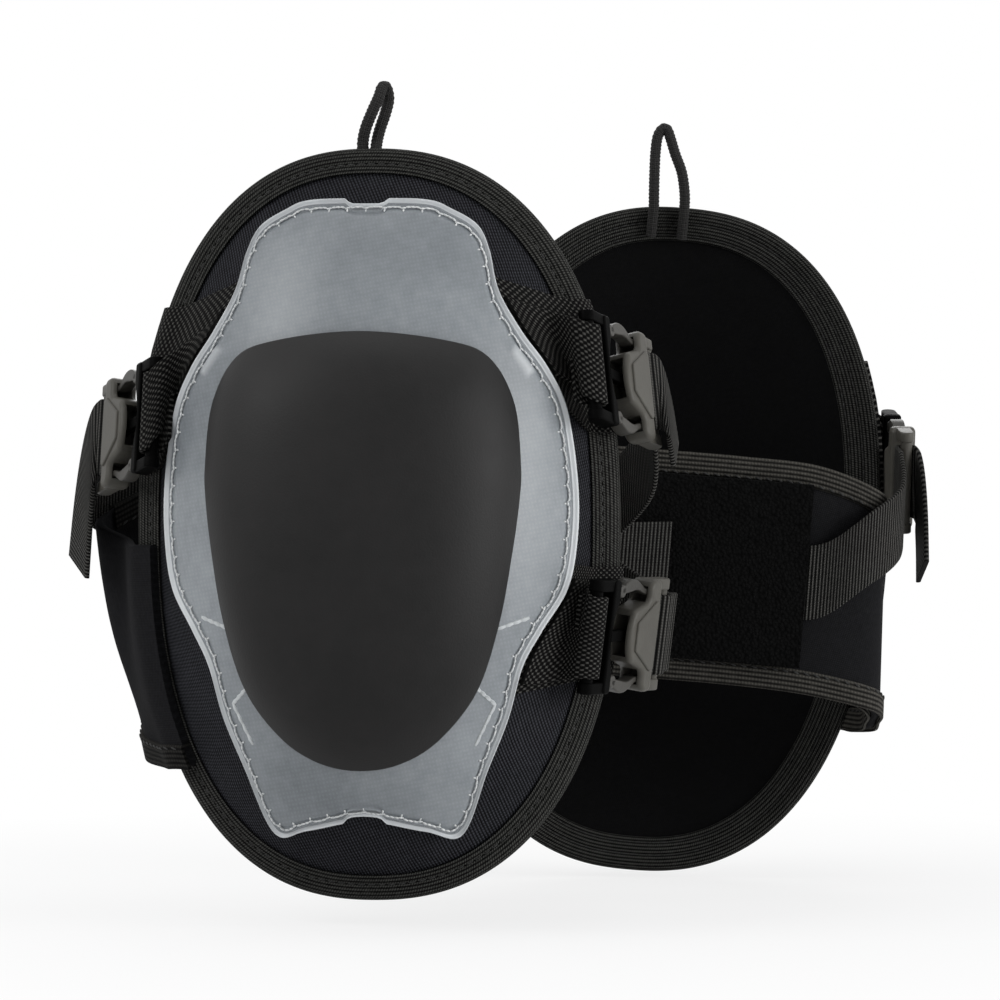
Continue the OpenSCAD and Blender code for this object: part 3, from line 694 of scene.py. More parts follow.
# The binding's section as insets from the rim and depths in front of the cup: over the front, the rim and
# the back, then inside
worn_points = 31
binding_section = [
    (8.0, 5.4), (8.15, 6.0), (7.9, 6.5), (7.2, 6.68), (6.4, 6.62), (5.7, 6.4), (5.2, 5.95), (4.7, 6.4),
    (4.0, 6.68), (3.0, 6.75), (2.0, 6.6), (1.1, 6.1), (0.45, 5.2), (0.1, 4.0), (0.0, 2.6), (0.1, 1.2),
    (0.45, 0.0), (1.1, -0.9), (2.0, -1.45), (3.0, -1.65), (4.2, -1.68), (5.0, -1.5), (5.5, -1.05),
    (6.0, -1.5), (7.0, -1.68), (8.4, -1.66), (9.2, -1.45), (9.7, -1.0), (10.2, -1.4), (11.0, -1.5),
    (11.5, -1.2), (11.6, -0.6), (11.3, -0.1), (8.0, -0.25), (2.0, -0.25), (1.5, 0.5), (1.5, 4.5),
    (2.0, 5.25), (6.0, 5.25),
]


def pad_binding():
    marks = [0.0]
    for a, b in zip(binding_section, binding_section[1:] + binding_section[:1]):
        marks.append(marks[-1] + math.dist(a, b))
    count = 420
    lines = []
    for i in range(count + 1):
        angle = rim_angle(i / count)
        line = []
        for k, mark in enumerate(marks):
            point = k % len(binding_section)
            inset, back = binding_section[point]
            p = oval(inset, angle)
            ripple = 0.12 * wander(p, 6, back) * (1 if back > 2 else -1) if point < worn_points else 0
            line.append((on_cup(p, back + ripple), (i / count * rim_way.length, mark)))
        lines.append(line)
    return cloth_grid(lines)


def binding_stitches():
    spots = []
    for inset, back, facing in ((5.2, 6.02, -1), (5.5, -1.1, 1), (9.7, -1.05, 1)):
        line = Way([on_cup(oval(inset, rim_angle(k / 400)), back) for k in range(400)], closed=True)
        count = int(line.length / 3.1)
        for k in range(count):
            at = line.length * (k + 0.5) / count
            p = line.at(at)
            up = Vector((-2 * side_wrap * p.x / half_w**2, 1, -2 * end_wrap * p.z / half_h**2)) * facing
            spots.append((p, line.along(at), up))
    return stitch_row(spots, 2.5, 0.34)


def outline(half, w, h, steps):
    """A smooth closed outline from its right half, given from the top to the bottom in shares of its size."""
    right = [Vector((x * w, 0, z * h)) for x, z in half]
    ring = right + [Vector((-p.x, 0, p.z)) for p in reversed(right[1:-1])]
    n = len(ring)
    return [
        catmull(ring[i - 1], ring[i], ring[(i + 1) % n], ring[(i + 2) % n], k / steps)
        for i in range(n) for k in range(steps)
    ]


flange_edge = outline(flange_half, flange_w, flange_h, 14)
cap_side = outline(cap_half, cap_w, cap_h, 12)[:12 * (len(cap_half) - 1) + 1]
cap_turns = [math.atan2(p.x, p.z) for p in cap_side]
cap_reaches = [p.length for p in cap_side]


def cap_edge(p):
    turn = abs(math.atan2(p.x, p.z))
    i = min(max(bisect.bisect_right(cap_turns, turn) - 1, 0), len(cap_turns) - 2)
    t = (turn - cap_turns[i]) / (cap_turns[i + 1] - cap_turns[i])
    return lerp(cap_reaches[i], cap_reaches[i + 1], min(max(t, 0), 1))


# Raised creases on the flange, as the two ends of each on the right half, and their half width
creases = [((47.5, 46.3), (43.8, 51.8), 1.6)]
# Pale welded ribs on the flange, as the two ends of each on the right half
ribs = [((39.1, -30.7), (47.6, -27.7)), ((32.8, -47.8), (38, -53.2)), ((38, -53.2), (32.3, -65.2))]


def off_line(p, a, b):
    a, b = Vector((a[0], 0, a[1])), Vector((b[0], 0, b[1]))
    t = min(max((p - a).dot(b - a) / (b - a).length_squared, 0), 1)
    return (p - lerp(a, b, t)).length


def crease(p, depth):
    """How far a place on the flange is raised by its creases, from 0 to 1, fading towards the edge."""
    q = Vector((abs(p.x), 0, p.z))
    return max(math.exp(-((off_line(q, a, b) / w) ** 4)) for a, b, w in creases) * ease(3.0, 4.2, depth)


# How far in from the flange's edge its sewn groove is
groove_in = 3.1


def hump(x, middle, half):
    return math.exp(-(((x - middle) / half) ** 2))


def flange_rise(p, depth):
    """Height of the flange's face above its foot, at a depth in from its edge."""
    bead = 0.55 * hump(depth, 0.5, 0.4) + 0.4 * hump(depth, 2.3, 0.3)
    channel = 0.45 * ease(0.6, 1.0, depth) * (1 - ease(1.7, 2.2, depth))
    groove = 0.45 * hump(depth, groove_in, 0.55)
    uneven = 0.12 * wander(p, 14, 3) * ease(4, 8, depth)
    return flange_t + bead - channel - groove + 0.6 * crease(p, depth) + uneven


def flange_notch(p):
    return 1.6 * math.exp(-((p.x / 5.4) ** 24))


def flange_inward(p):
    return (p.normalized() * (cap_edge(p) - cap_seat) - p).normalized()


lip_depths = [
    0, 0.15, 0.35, 0.55, 0.8, 1.0, 1.25, 1.6, 1.9, 2.1, 2.3, 2.5, 2.75, 3.05, 3.35, 3.7, 4.3, 5.4, 6.8,
]


def pad_flange():
    """The clear plate, from its beaded lip in to the hole under the cap."""
    lines = []
    for p in flange_edge + flange_edge[:1]:
        edge = p * (1 - flange_notch(p) / p.length)
        inward = flange_inward(p)
        reach = (p.normalized() * (cap_edge(p) - cap_seat) - edge).length
        depths = lip_depths + [lerp(lip_depths[-1], reach, k / 22) for k in range(1, 23)]
        upper = [(edge + inward * d, d) for d in depths]
        line = []
        for q, d in upper:
            drop = 0.4 if d == 0 else 0
            line.append((on_outside(q, seat_gap + flange_rise(q, d) - drop), (d, crease(q, d))))
        line += [(on_outside(q, seat_gap), (d, crease(q, d))) for q, d in reversed(upper[::4] + upper[-1:])]
        lines.append(line + line[:1])
    return cloth_grid(lines)


def flange_ribs():
    bm = bmesh.new()
    rise = seat_gap + flange_t - 0.45
    for side in (-1, 1):
        for a, b in ribs:
            a, b = (Vector((side * x, 0, z)) for x, z in (a, b))
            for k in range(4):
                start, end = (on_outside(lerp(a, b, t), rise) for t in (k / 4, (k + 1) / 4))
                middle = lerp(a, b, (k + 0.5) / 4)
                up = on_outside(middle, rise + 1) - on_outside(middle, rise)
                add_stitch(bm, (start + end) / 2, end - start, up, (end - start).length + 1.6, 0.95)
    return bm


def flange_stitches():
    """A white lock stitch in the flange's groove, drawn in a little at each hole, with a tick there."""
    way = Way([p + flange_inward(p) * groove_in for p in flange_edge], closed=True)
    pitch = 5.4
    count = int(way.length / pitch)
    spots = []
    for k in range(count * 4):
        at = way.length * k / count / 4
        p, along = way.at(at), way.along(at)
        inward = Vector((-p.x, 0, -p.z))
        inward = (inward - along * inward.dot(along)).normalized()
        sway = (0.0, 0.28, 0.36, 0.28)[k % 4] + 0.2 * wander(p, 7, k % 5)
        spots.append((p - inward * sway, along + inward * (-0.2, -0.06, 0.06, 0.2)[k % 4], 1.75, 0.34))
        if k % 4 == 0:
            spots.append((p + inward * 0.75, inward + along * 0.5 * wander(p, 3, 8), 1.1, 0.3))
    bm = bmesh.new()
    for q, along, length, radius in spots:
        rise = seat_gap + flange_t + 0.1
        foot, on = on_outside(q, rise), on_outside(q + along * 0.8, rise)
        up = on_outside(q, rise + 1) - foot
        add_stitch(bm, foot, on - foot, up, length, radius)
    return bm


cap_shares = [k / 40 for k in range(30)] + [
    0.74, 0.77, 0.8, 0.83, 0.86, 0.885, 0.91, 0.93, 0.95, 0.967, 0.98, 0.99, 0.997,
]


def pad_cap():
    """The domed cap with a rolled edge."""
    boss = cap_seat + seat_gap

    def spoke(turn):
        facing = turn * 2 * math.pi
        d = Vector((math.cos(facing), 0, math.sin(facing)))
        reach = cap_edge(d)
        points = [on_outside(d * reach * s, cap_base + cap_lip + cap_rise * (1 - s**5)) for s in cap_shares]
        for inset, rise in ((0.05, 1.35), (0.0, 0.9), (0.05, 0.3), (0.35, 0.0), (boss, 0.0)):
            points.append(on_outside(d * (reach - inset), cap_base + rise))
        points += [on_outside(d * (reach - boss) * s, seat_gap) for s in (1, 0.5, 0.0)]
        return points, facing

    return cloth_grid(spokes(192, spoke))


def braided(way):
    """A round cord of crossing strands along a way."""
    count, sides, strands, lay = int(way.length / 0.35), 20, 8, 2.6
    lines = []
    for k in range(count + 1):
        at = way.length * k / count
        along = way.along(at)
        side = along.cross(Vector((0, 1, 0)) if abs(along.y) < 0.9 else Vector((1, 0, 0))).normalized()
        up = side.cross(along)
        line = []
        for j in range(sides + 1):
            a = j * 2 * math.pi / sides
            strand = j / sides * strands
            knots = [math.sin(2 * math.pi * (at / lay + sense * strand / 2)) for sense in (1, -1)]
            r = cord_d / 2 + 0.2 * knots[0] * knots[1] - 0.1
            line.append((way.at(at) + (side * math.cos(a) + up * math.sin(a)) * r, (at, strand * 1.4)))
        lines.append(line)
    return cloth_grid(lines)


# Webbing tabs, straps and elastics

mirrored_x = Matrix.Scale(-1, 4, Vector((1, 0, 0)))
# The top and bottom of each tab's seam, which follows the flange's edge
tab_seams = {"upper_right": (66, 46), "upper_left": (63, 42), "lower_right": (-18, -46)}
# The top and bottom of the wide patch under each tab, at the flange's edge and at the rim
patches = {
    "upper_right": ((73, 37), (69, 28)), "upper_left": ((72, 31), (67, 16)),
    "lower_right": ((-13, -49), (-13, -47.5)),
}
patch_t, lip_gap = 1.2, 3
five_sides = (-1, -0.5, 0, 0.5, 1)


def seam_row(top, bottom):
    """Places just outside the flange's edge on its right side, from the bottom of a seam to its top."""
    side = Way(sorted((p for p in flange_edge if p.x > 20 and bottom - 2 < p.z < top + 2), key=lambda p: p.z))
    row = []
    for s in five_sides:
        at = side.length * (s + 1) / 2
        along = side.along(at)
        row.append(side.at(at) + Vector((along.z, 0, -along.x)) * 0.5)
    return row


def flange_side(z):
    """How far out the flange's edge is on the right at a height."""
    right = [p for p in flange_edge if p.x > 20]
    low = max((p for p in right if p.z <= z), key=lambda p: p.z)
    high = min((p for p in right if p.z > z), key=lambda p: p.z)
    return lerp(low.x, high.x, (z - low.z) / (high.z - low.z))


def patch_loft(seam, rim):
    """A wide patch of webbing on the cover, from the flange's edge over the front of the rim's binding."""
    rims = [lerp(rim[1], rim[0], (s + 1) / 2) for s in five_sides]
    starts = seam_row(*seam)
    ends = [Vector((rim_x(z) - 8.5, 0, z)) for z in rims]
    rows = []
    for t in (0, 0.3, 0.6, 0.9):
        rows.append([on_outside(lerp(a, b, t), seat_gap / 2 + patch_t / 2) for a, b in zip(starts, ends)])
    for inset, depth in ((6.5, 7.5), (4, 7.55), (1.8, 7.3), (0.3, 6.2), (-0.75, 4.4)):
        rows.append([on_cup(Vector((rim_x(z) - inset, 0, z)), depth) for z in rims])
    return Loft(rows)


def tab_loft(buckle, seam):
    """A tab from its seam by the flange to the plug's bar, over and round it and back under itself."""
    rise = seat_gap + patch_t + web_t / 2
    root = [on_outside(p, rise) for p in seam_row(*seam)]
    start = root[2]
    x, z = (start - buckle.bar).dot(buckle.pull), (start - buckle.bar).dot(buckle.face)
    toward, swing = math.atan2(z, x), math.acos(turn_r / math.hypot(x, z))
    over, under = (toward - swing) % (2 * math.pi), toward + swing

    def turn(a, s):
        return buckle.point(turn_r * math.cos(a), web_w / 2 * s, turn_r * math.sin(a))

    def laid(p, t):
        """Flat on the cover by the seam and outside the flange, and free of the cover towards the bar."""
        x = max(p.x, flange_side(p.z) + lip_gap)
        on_cover = outside_y(Vector((x, 0, p.z))) - 1.25 * rise
        return Vector((x, lerp(on_cover, min(p.y, on_cover), ease(0.4, 0.85, t)), p.z))

    rows = []
    for k in range(9):
        t = k / 9
        centre, narrow = lerp(start, turn(over, 0), t), ease(0.1, 0.95, t)
        spreads = [lerp(p - start, turn(over, s) - turn(over, 0), narrow) for p, s in zip(root, five_sides)]
        rows.append([laid(centre + spread, t) for spread in spreads])
    for k in range(13):
        a = lerp(over, under, k / 12)
        rows.append([turn(a, s) for s in five_sides])
    back = start - turn(under, 0)
    rows += [[turn(under, s) + back * t for s in five_sides] for t in (0.1, 0.2, 0.25)]
    return Loft(rows)


def across_rows(points, spreads):
    return [[p - v, p + v] for p, v in zip(points, spreads)]


# How far behind a socket's bar each strap's run ends and its turn round the bar starts
thigh_hold, elastic_hold = 8, 10


def strap_end(buckle, reach):
    return buckle.point(socket_bar_x + reach, 0, -turn_r)


def bar_turn(buckle, hold):
    """From the end of a strap's run round its socket's bar, from the bar's inner face to its outer face."""
    points = [strap_end(buckle, hold), strap_end(buckle, hold / 2)]
    for degrees in range(-90, -271, -30):
        a = math.radians(degrees)
        points.append(buckle.point(socket_bar_x + turn_r * math.cos(a), 0, turn_r * math.sin(a)))
    return points


def run_spreads(buckle, count):
    up = Vector((0, 0, 1))
    return [lerp(up, buckle.across, (k / (count - 1)) ** 2).normalized() * web_w / 2 for k in range(count)]


def thigh_run(buckle, reach):
    e = strap_end(buckle, thigh_hold)
    points = [
        *(Vector((x, sleeve_back, strap_z)) for x in (0, 14, 36)),
        Vector((sleeve_end, sleeve_back + 0.2, strap_z + 1)),
        Vector((lerp(sleeve_end, max(e.x, reach), 0.55), sleeve_back + 2.5, lerp(strap_z, e.z, 0.35))),
        Vector((max(e.x - 1, reach), e.y + 12, lerp(strap_z, e.z, 0.65))), e,
    ]
    up = Vector((0, 0, web_w / 2))
    return Loft(across_rows(points, [up] + run_spreads(buckle, 6)))


def thigh_tail(buckle, tail):
    points = bar_turn(buckle, thigh_hold)
    spreads = [buckle.across * web_w / 2 for p in points]
    for k in range(1, 6):
        drop = Vector((0, 0, tail[1] * (k / 5) ** 2))
        points.append(buckle.point(socket_bar_x + tail[0] * k / 5, 0, turn_r + k) - drop)
        spreads.append(lerp(buckle.across, Vector((tail[2], 0.92, 0.3)), k / 5).normalized() * web_w / 2)
    return Loft(across_rows(points, spreads))


def elastic_run(buckle):
    e = strap_end(buckle, elastic_hold)
    points = [
        Vector((-2, elastic_back, strap_z + 4)), Vector((32, elastic_back + 0.4, strap_z)),
        Vector((lerp(32, e.x, 0.5), elastic_back + 3, strap_z - 8)), Vector((e.x - 3, e.y + 13, e.z + 1)), e,
    ]
    return Loft(across_rows(points, run_spreads(buckle, 5)))


def elastic_turn(buckle):
    points = bar_turn(buckle, elastic_hold)
    low = web_t * 1.05 - turn_r
    for k in range(1, 6):
        points.append(buckle.point(socket_bar_x + 2.4 * k, 0, lerp(turn_r, low, ease(0, 4, k))))
    return Loft(across_rows(points, [buckle.across * web_w / 2 for p in points]))


def strap(loft, thick, step=1.3):
    return cloth_grid(strap_lines(loft, flat_section(loft.half, thick), step))


# The calf strap


def calf_root(low, high):
    """The strap's end, which is sewn over the front of the rim, and its turn round the rim's edge."""
    front, edge = [], []
    for s in five_sides:
        z = lerp(low, high, (s + 1) / 2)
        rim = Vector((-rim_x(z), 0, z))
        seam, outer = rim + Vector((6.5, 0, 0)), rim - Vector((calf_t / 2 + 0.7, 0, 0))
        front.append(Vector((seam.x, cup(seam) - 7.2 - calf_t / 2, z)))
        edge.append(Vector((outer.x, cup(rim) - 2.6, z)))
    return [front, [lerp(a, b, 0.55) - Vector((0.9, 1.2, 0)) for a, b in zip(front, edge)], edge]


def calf_rows(fold, inset):
    out, sag, lean = fold
    stations = [
        (-out * 0.3 - half_w, seam_y + 3, -59 - sag, 5 - sag * 0.55, -3 * lean),
        (-out - half_w, seam_y + 13, -56 - sag * 0.9, 10 - sag * 0.6, -6 * lean),
        (-out * 0.9 - half_w, calf_back - 11, -53 - sag * 0.8, 16 - sag * 0.7, -5 * lean),
        (-out * 0.2 + 6 - half_w, calf_back - 3, -50 - sag * 0.7, 23 - sag * 0.6, -2 * lean),
        (26 - half_w, calf_back, calf_bottom - 1 - sag * 0.4, calf_top - 1 - sag * 0.4, 0),
        (-24, calf_back, calf_bottom - sag * 0.1, calf_top - sag * 0.1, 0),
        (5, calf_back, calf_bottom, calf_top, 0),
        (36, calf_back, calf_bottom, calf_top, 0),
    ]
    rows = calf_root(-60 - sag + inset, 2 - sag * 0.5 - inset)
    for x, y, low, high, lean_x in stations:
        p, v = Vector((x, y, (low + high) / 2)), Vector((lean_x, 0, (high - low) / 2))
        v -= v.normalized() * inset
        bow = max(0, -lean_x) * 0.3
        rows.append([p + v * s - Vector((bow * (1 - s * s - max(0, -s)), 0, 0)) for s in five_sides])
    return rows


def calf_area(fold):
    """The strap's flat area in square metres, from its sections' heights along its length."""
    loft = Loft(calf_rows(fold, 0))
    heights = [(row[-1] - row[0]).length for row in loft.rows]
    marks = loft.way.marks
    steps = range(len(marks) - 1)
    return sum((heights[i] + heights[i + 1]) / 2 * (marks[i + 1] - marks[i]) for i in steps) * 1e-6


def calf_edge_loft(fold, side):
    """The strip of the calf strap that its tape covers, from the strap's edge inwards."""
    rows = []
    for row in calf_rows(fold, 0)[5 if side > 0 else 0 :]:
        edge, near = (row[0], row[1]) if side < 0 else (row[-1], row[-2])
        inward = (near - edge).normalized() * calf_tape_w
        rows.append([edge, edge + inward] if side < 0 else [edge + inward, edge])
    return Loft(rows)


def tape_section(side):
    """A folded tape's section as sides of its strip and rises, round its outside and back inside."""
    near, far = calf_t / 2 + 0.2, calf_t / 2 + layer_gap + calf_tape_t
    outside = [
        (1.0, near + 0.1), (1.0, far - 0.15), (0.92, far), (0.4, far + 0.05), (-0.2, far + 0.08),
        (-0.75, far), (-0.93, far * 0.8), (-1.0, far * 0.35),
    ]
    outside += [(s, -h) for s, h in reversed(outside)]
    inside = [(-0.72, -near), (-0.76, 0), (-0.72, near)]
    return [(-s * side, h) for s, h in outside + inside]


# Buckles

on_edge = Matrix.Rotation(math.pi / 2, 4, "X")


def rounded(*corners):
    """An outline whose corners, each a point and a radius, are rounded."""
    points = []
    for k, (x, y, r) in enumerate(corners):
        corner = Vector((x, y))
        back, on = ((Vector(corners[(k + d) % len(corners)][:2]) - corner).normalized() for d in (-1, 1))
        half = back.angle(on) / 2
        middle = corner + (back + on).normalized() * r / math.sin(half)
        start, end = corner + back * r / math.tan(half) - middle, corner + on * r / math.tan(half) - middle
        points += [middle + lerp(start, end, t / 4).normalized() * r for t in range(5)]
    return points


def both_sides(lower, *middle):
    """A rounded outline from the corners of its lower side, which its upper side mirrors."""
    return rounded(*lower, *middle, *((x, -y, r) for x, y, r in reversed(lower)))


def plate(rim, low, high, edge):
    """A moulded plate cut to a rim of points, with its edges rounded."""
    bm = bmesh.new()
    face = bm.faces.new([bm.verts.new((p[0], p[1], low)) for p in rim])
    raised = bmesh.ops.extrude_face_region(bm, geom=[face])["geom"]
    lifted = [v for v in raised if isinstance(v, bmesh.types.BMVert)]
    bmesh.ops.translate(bm, verts=lifted, vec=(0, 0, high - low))
    bmesh.ops.recalc_face_normals(bm, faces=bm.faces)
    bmesh.ops.bevel(
        bm, geom=[e for e in bm.edges if abs(e.verts[0].co.z - e.verts[1].co.z) < 0.01], offset=edge,
        offset_type="OFFSET", affect="EDGES", segments=4, profile=0.5, material=-1, clamp_overlap=True,
    )
    bmesh.ops.inset_individual(bm, faces=[f for f in bm.faces if len(f.verts) > 4], thickness=0.2)
    return bm


def bar_rod():
    """A round bar that lies across a buckle, let into both rails."""
    bm = bmesh.new()
    length = 2 * (rail_in + 0.5)
    bmesh.ops.create_cone(bm, cap_ends=True, segments=24, radius1=bar_r, radius2=bar_r, depth=length)
    bm.transform(on_edge)
    return bm


def hollow(low, high):
    bm = bmesh.new()
    bmesh.ops.create_cube(bm, size=1)
    middle = (Vector(low) + Vector(high)) / 2
    bm.transform(Matrix.Translation(middle) @ Matrix.Diagonal((*(Vector(high) - Vector(low)), 1)))
    return bm


def joined(*parts):
    whole = bmesh.new()
    for bm in parts:
        mesh = bpy.data.meshes.new("part")
        bm.to_mesh(mesh)
        bm.free()
        whole.from_mesh(mesh)
        bpy.data.meshes.remove(mesh)
    return whole


def carved(bm, *pockets):
    """A moulded piece with pockets cut out of it."""
    blanks = []
    for blank in (bm, *pockets):
        mesh = bpy.data.meshes.new("blank")
        blank.to_mesh(mesh)
        blank.free()
        blanks.append(bpy.data.objects.new("blank", mesh))
        bpy.context.scene.collection.objects.link(blanks[-1])
    for pocket in blanks[1:]:
        cutter = blanks[0].modifiers.new("pocket", "BOOLEAN")
        cutter.operation, cutter.solver, cutter.object = "DIFFERENCE", "EXACT", pocket
    whole = bmesh.new()
    whole.from_object(blanks[0], bpy.context.evaluated_depsgraph_get())
    for blank in blanks:
        bpy.data.meshes.remove(blank.data)
    return whole


def rails(left, left_r, right, right_r):
    """The pair of side rails of a plug or socket, with the roundings of their ends."""
    side = both_sides([(left, -rail_half, left_r), (right, -rail_half, right_r)])
    pair = []
    for low, high in ((-buckle_half, -rail_in), (rail_in, buckle_half)):
        bm = plate(side, low, high, 0.7)
        bm.transform(on_edge)
        pair.append(bm)
    return pair


def make_plug():
    """The frame with the tab's bar, an arched base between the prongs, and the tongue."""
    arch = [(33.6 - 26 * math.cos(0.055 * k), 26 * math.sin(0.055 * k), 2.5) for k in range(-7, 8)]
    lower = [(6, -buckle_half, 1.2), (10, -buckle_half, 1.2), (10, -11.6, 1)]
    base = plate(both_sides(lower, *arch), -3, 3, 0.8)
    tongue = plate(both_sides([(6.6, -1.7, 0.5), (27, -1.7, 1.2)]), -1.3, 1.3, 0.4)
    return joined(base, tongue, bar_rod(), *rails(-2.5, 2.4, 9.4, 0.5))


def make_socket():
    """The hollow shell with a raised panel, and the rails and bar that the strap turns round."""
    lower = [
        (16.5, -2.8, 15), (18.3, -8, 2.2), (26.3, -10.7, 2.4), (26.3, -buckle_half, 3.2),
        (33, -buckle_half, 2),
    ]
    shell = plate(both_sides(lower), -4.2, 4.2, 1.5)
    pockets = [hollow((14, -6.4, -2.5), (25, 6.4, 2.4)), hollow((24, -2, -1.6), (29, 2, 1.6))]
    for side in (-1, 1):
        for x_from, x_to, reach in ((21, 27.9, 15.3), (27.8, 31.4, 16.1)):
            low, high = sorted((side * 10.5, side * reach))
            pockets.append(hollow((x_from, low, -2.5), (x_to, high, 2.5)))
    bar = bar_rod()
    bar.transform(Matrix.Translation((socket_bar_x, 0, 0)))
    panel = plate(both_sides([(19.6, -4.3, 1.2), (31.6, -12.2, 1.4)]), 3.4, 4.8, 0.5)
    return joined(carved(shell, *pockets), panel, bar, *rails(31.4, 0.6, 41.4, 2.4))


def make_prong():
    edge = [
        (-0.8, 1), (4, 3.5), (8, 3.5), (11.2, 2), (13.4, 0.8), (14.8, 0.8), (17, 1.2), (19, 1.5), (19.3, 0.4),
        (18, -0.8), (14, -1.2), (9, 0.2), (4, -0.4), (-0.8, -1),
    ]
    half = 2.2
    turns = [math.pi * k / 12 for k in range(24)]
    finger = plate([p.xy for p in smooth([Vector((x, y, 0)) for x, y in edge], 4)], -half, half, 0.6)
    knuckle = plate([(2 * math.cos(a), 2 * math.sin(a)) for a in turns], -half, half, 0.5)
    bm = joined(finger, knuckle)
    bm.transform(Matrix.Translation((12.3, rail_in, 0)))
    return bm


bottom_prong = make_prong()
bottom_prong.transform(Matrix.Scale(-1, 4, Vector((0, 1, 0))))
bmesh.ops.reverse_faces(bottom_prong, faces=bottom_prong.faces)
buckle_parts = {
    "plug": (make_plug(), shaded_plug_plastic), "socket": (make_socket(), socket_plastic),
    "top_prong": (make_prong(), prong_plastic), "bottom_prong": (bottom_prong, prong_plastic),
}


# Dressing each pad


def dress(pad):
    stand, body, fold = stands[pad], pad + "_pad", folds[pad]
    mirror_stand = stand @ mirrored_x
    buckles = {corner: Buckle(place) for corner, place in places[pad].items()}

    def named(node):
        return f"{pad}_{node}"

    def side_of(corner):
        return mirror_stand if corner.endswith("left") else stand

    def add(name, bm, material, slot, *nodes, by=body, here=stand, sharp=50):
        """Adds a piece that shows some nodes; a body carries it, unless it is given none."""
        piece = settle(named(name), bm, material, here, sharp)
        if by:
            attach(piece, by)
        if nodes:
            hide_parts(*(named(node) for node in nodes))
        return piece

    way = Way(smooth([Vector(p) for p in loops[pad]], 12))
    piece = add("hang_cord", braided(way), cord_braid, "cord", "hang_loop")
    path = [stand @ way.at(way.length * k / 60) for k in range(61)]
    padding = "cover", "foam_core", "gel_insert"
    cover = add("padded_cover", pad_cover(), cover_fabric, "cover_fabric", *padding)
    add("neoprene_lining", pad_lining(), lining_neoprene, "lining_neoprene", "lining")
    add("rim_binding", pad_binding(), binding_tape, "binding_tape", "edge_binding")
    add("rim_stitches", binding_stitches(), black_thread, "binding_tape")
    add("clear_flange", pad_flange(), clear_flange, "clear_flange", "flange", sharp=70)
    add("flange_stitches", flange_stitches(), white_thread, "clear_flange")
    add("flange_ribs", flange_ribs(), pale_plastic, "clear_flange")
    add("domed_cap", pad_cap(), cap_rubber, "cap_rubber", "cap", sharp=60)

    for corner, buckle in buckles.items():
        here = side_of(corner)
        tab = strap(tab_loft(buckle, tab_seams[corner]), web_t, 0.9)
        add(f"{corner}_tab", tab, webbing, "webbing", "webbing_tabs", here=here)
        patch = strap(patch_loft(*patches[corner]), patch_t, 0.9)
        add(f"{corner}_patch", patch, webbing, "webbing", "webbing_tabs", here=here)
        for part, (mould, material) in buckle_parts.items():
            node = f"{corner}_{part}"
            add(
                node + "_moulded", mould.copy(), material, "buckle_plastic", node,
                by=body if part == "plug" else named(node), here=here @ buckle.frame, sharp=40,
            )

    lines = strap_lines(Loft(calf_rows(fold, 0.9)), flat_section(calf_h / 2, calf_t, 30), 2.0)
    calf = add("calf_neoprene", cloth_grid(lines), calf_neoprene, "calf_neoprene", "calf_strap")
    flat = calf_h * 0.001, Loft(calf_rows(fold, 0)).length * 0.001
    calf_area(fold)
    for side, edge in ((-1, "bottom"), (1, "top")):
        loft = calf_edge_loft(fold, side)
        tape = cloth_grid(strap_lines(loft, tape_section(-side), 1.5))
        add(f"calf_{edge}_tape", tape, shaded_and_lit_calf_tapes[pad], "calf_tape", "calf_strap_tape")
        spots = []
        for face in (1, -1):
            rise = face * (calf_t / 2 + 1.25)
            for p, along, up in stitches_on(loft, -side * 0.72, rise, 3.4, 0.35):
                spots.append((p, along, up * face))
        add(f"calf_{edge}_stitches", stitch_row(spots, 2.4, 0.32), black_thread, "calf_tape")

    panel = Loft([[(x, pile_back, pile_z + pile_h / 2 * s) for s in five_sides] for x in (-48, -20, 8, 34)])
    pile = add("loop_pile", strap(panel, pile_t, 2.0), loop_pile, "loop_pile", "pile_panel")
    spots = [spot for side in (-0.95, 0.95) for spot in stitches_on(panel, side, pile_t / 2, 3.2)]
    add("pile_stitches", stitch_row(spots, 2.4, 0.3), black_thread, "loop_pile")

    # Each strap's node, its run and its turn round the socket's bar, a point along its run, and its hold
    thigh = "thigh_strap", "thigh_run", "thigh_tail", (sleeve_end, sleeve_back, strap_z), thigh_hold
    low = "calf_elastic", "elastic_run", "elastic_turn", (36, elastic_back, strap_z), elastic_hold
    left_tail, right_tail = tails[pad]
    # On the left the thigh strap passes outside the calf strap's fold
    reach = half_w + fold[0] + fold[2] * 5 + 6
    left, right, lower = (buckles[corner] for corner in ("upper_left", "upper_right", "lower_right"))
    for corner, kind, run_loft, turn_loft in (
        ("upper_left", thigh, thigh_run(left, reach), thigh_tail(left, left_tail)),
        ("upper_right", thigh, thigh_run(right, 0), thigh_tail(right, right_tail)),
        ("lower_right", low, elastic_run(lower), elastic_turn(lower)),
    ):
        node, run_name, turn_name, leave, hold = kind
        here, socket = side_of(corner), named(f"{corner}_socket")
        bm = strap(run_loft, web_t)
        run = add(f"{corner}_{run_name}", bm, elastic, "elastic", node, by=None, here=here)
        start, end = here @ Vector(leave), here @ strap_end(buckles[corner], hold)
        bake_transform(run)
        bm = strap(turn_loft, web_t, 0.8)
        add(f"{corner}_{turn_name}", bm, elastic, "elastic", node, by=socket, here=here)


for pad in ("front", "rear"):
    dress(pad)

# Floor, backdrop and light


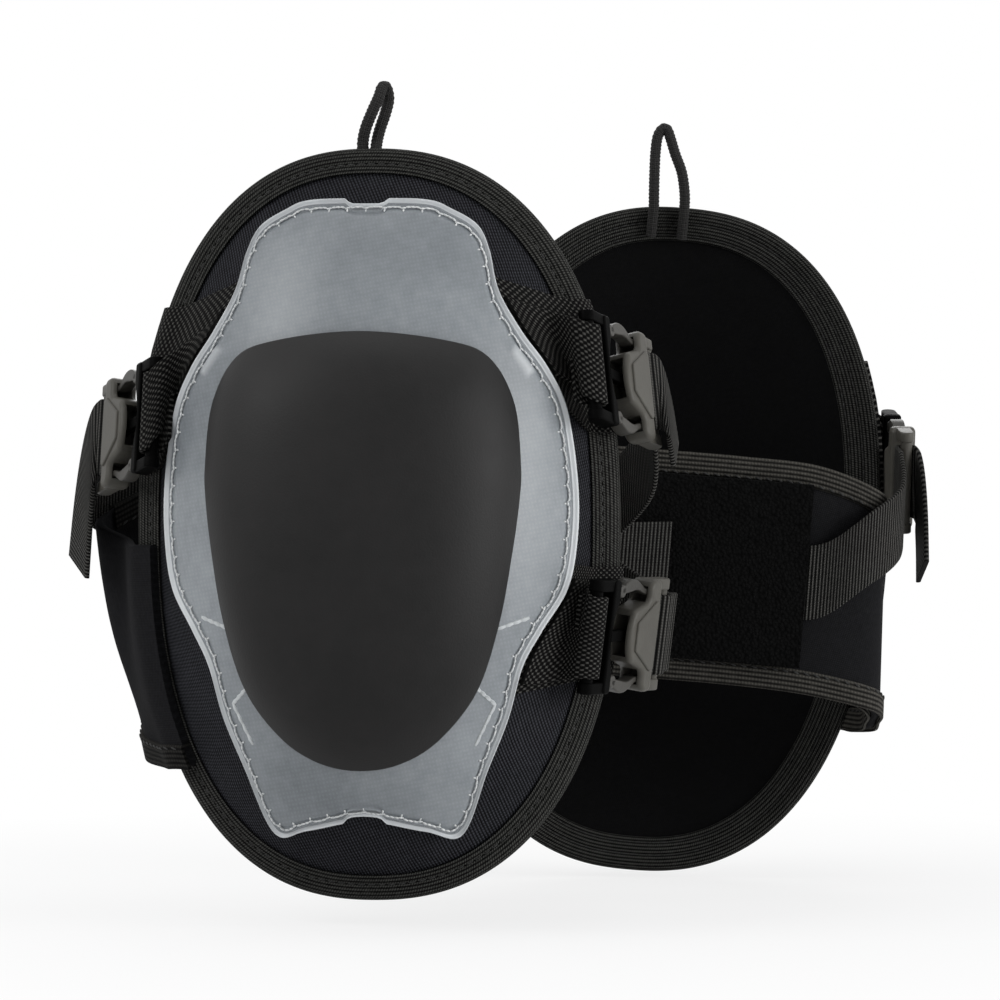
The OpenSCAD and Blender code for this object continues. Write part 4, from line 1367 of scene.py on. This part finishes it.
class Studio(Finish):
    """The node tree of the floor or the room, whose background shows white to rays that see it directly."""

    def __init__(self, tree, output, unused):
        tree.nodes.remove(tree.nodes[unused])
        self.tree, self.output = tree, tree.nodes[output].inputs[0]

    def seen(self):
        rays = (f"Is {ray} Ray" for ray in ("Camera", "Glossy", "Transmission"))
        camera, glossy, through = (self.node("ShaderNodeLightPath", out=ray) for ray in rays)
        return camera.most(glossy).most(through)

    def show(self, share, lit, white):
        self.join(self.node("ShaderNodeMixShader", None, {0: share, 1: lit, 2: white}), self.output)


floor_z = -0.2555
bm = bmesh.new()
bmesh.ops.create_grid(bm, x_segments=1, y_segments=1, size=4)
bm.transform(Matrix.Translation((0, 1.5, floor_z)))
floor_mesh = bpy.data.meshes.new("floor")
bm.to_mesh(floor_mesh)
bm.free()
floor = bpy.data.objects.new("floor", floor_mesh)
bpy.context.scene.collection.objects.link(floor)
paper_material = bpy.data.materials.new("floor_paper")
paper_material.use_nodes = True
floor_mesh.materials.append(paper_material)
paper = Studio(paper_material.node_tree, "Material Output", "Principled BSDF")
under_pads = (0.04, 0.08, floor_z)
ends = {0: paper.place(), 1: under_pads}
away = paper.node("ShaderNodeVectorMath", {"operation": "DISTANCE"}, ends, "Value")
near_share = 1 - ((away - 0.1) / 0.3).held()
paper.show(
    paper.seen() * (1 - 0.22 * near_share),
    paper.node("ShaderNodeBsdfDiffuse", None, {"Color": (0.94, 0.94, 0.94, 1)}),
    paper.node("ShaderNodeEmission", None, {"Color": (1, 1, 1, 1)}),
)

world = bpy.data.worlds.new("studio")
bpy.context.scene.world = world
world.use_nodes = True
room = Studio(world.node_tree, "World Output", "Background")
room.show(
    room.seen(),
    room.node("ShaderNodeBackground", None, {"Color": (0.9, 0.92, 0.95, 1), "Strength": 0.3}),
    room.node("ShaderNodeBackground", None, {"Color": (1, 1, 1, 1)}),
)


def soft_box(name, place, aim, size, power):
    lamp = bpy.data.lights.new(name, "AREA")
    lamp.shape = "SQUARE"
    lamp.size = size
    lamp.energy = power
    box = bpy.data.objects.new(name, lamp)
    box.location = place
    box.rotation_euler = (Vector(aim) - Vector(place)).to_track_quat("-Z", "Y").to_euler()
    bpy.context.scene.collection.objects.link(box)


middle = (0.04, 0.0, -0.13)
soft_box("right_box", (1.15, -0.4, 0.0), middle, 0.7, 10.5)
soft_box("left_box", (-0.95, -0.45, 0.55), middle, 0.7, 6.3)
soft_box("top_box", (0.0, -0.1, 1.0), middle, 0.9, 3)
soft_box("back_box", (0.1, 1.3, 0.5), middle, 0.8, 4)

bpy.context.scene.view_settings.view_transform = "Standard"
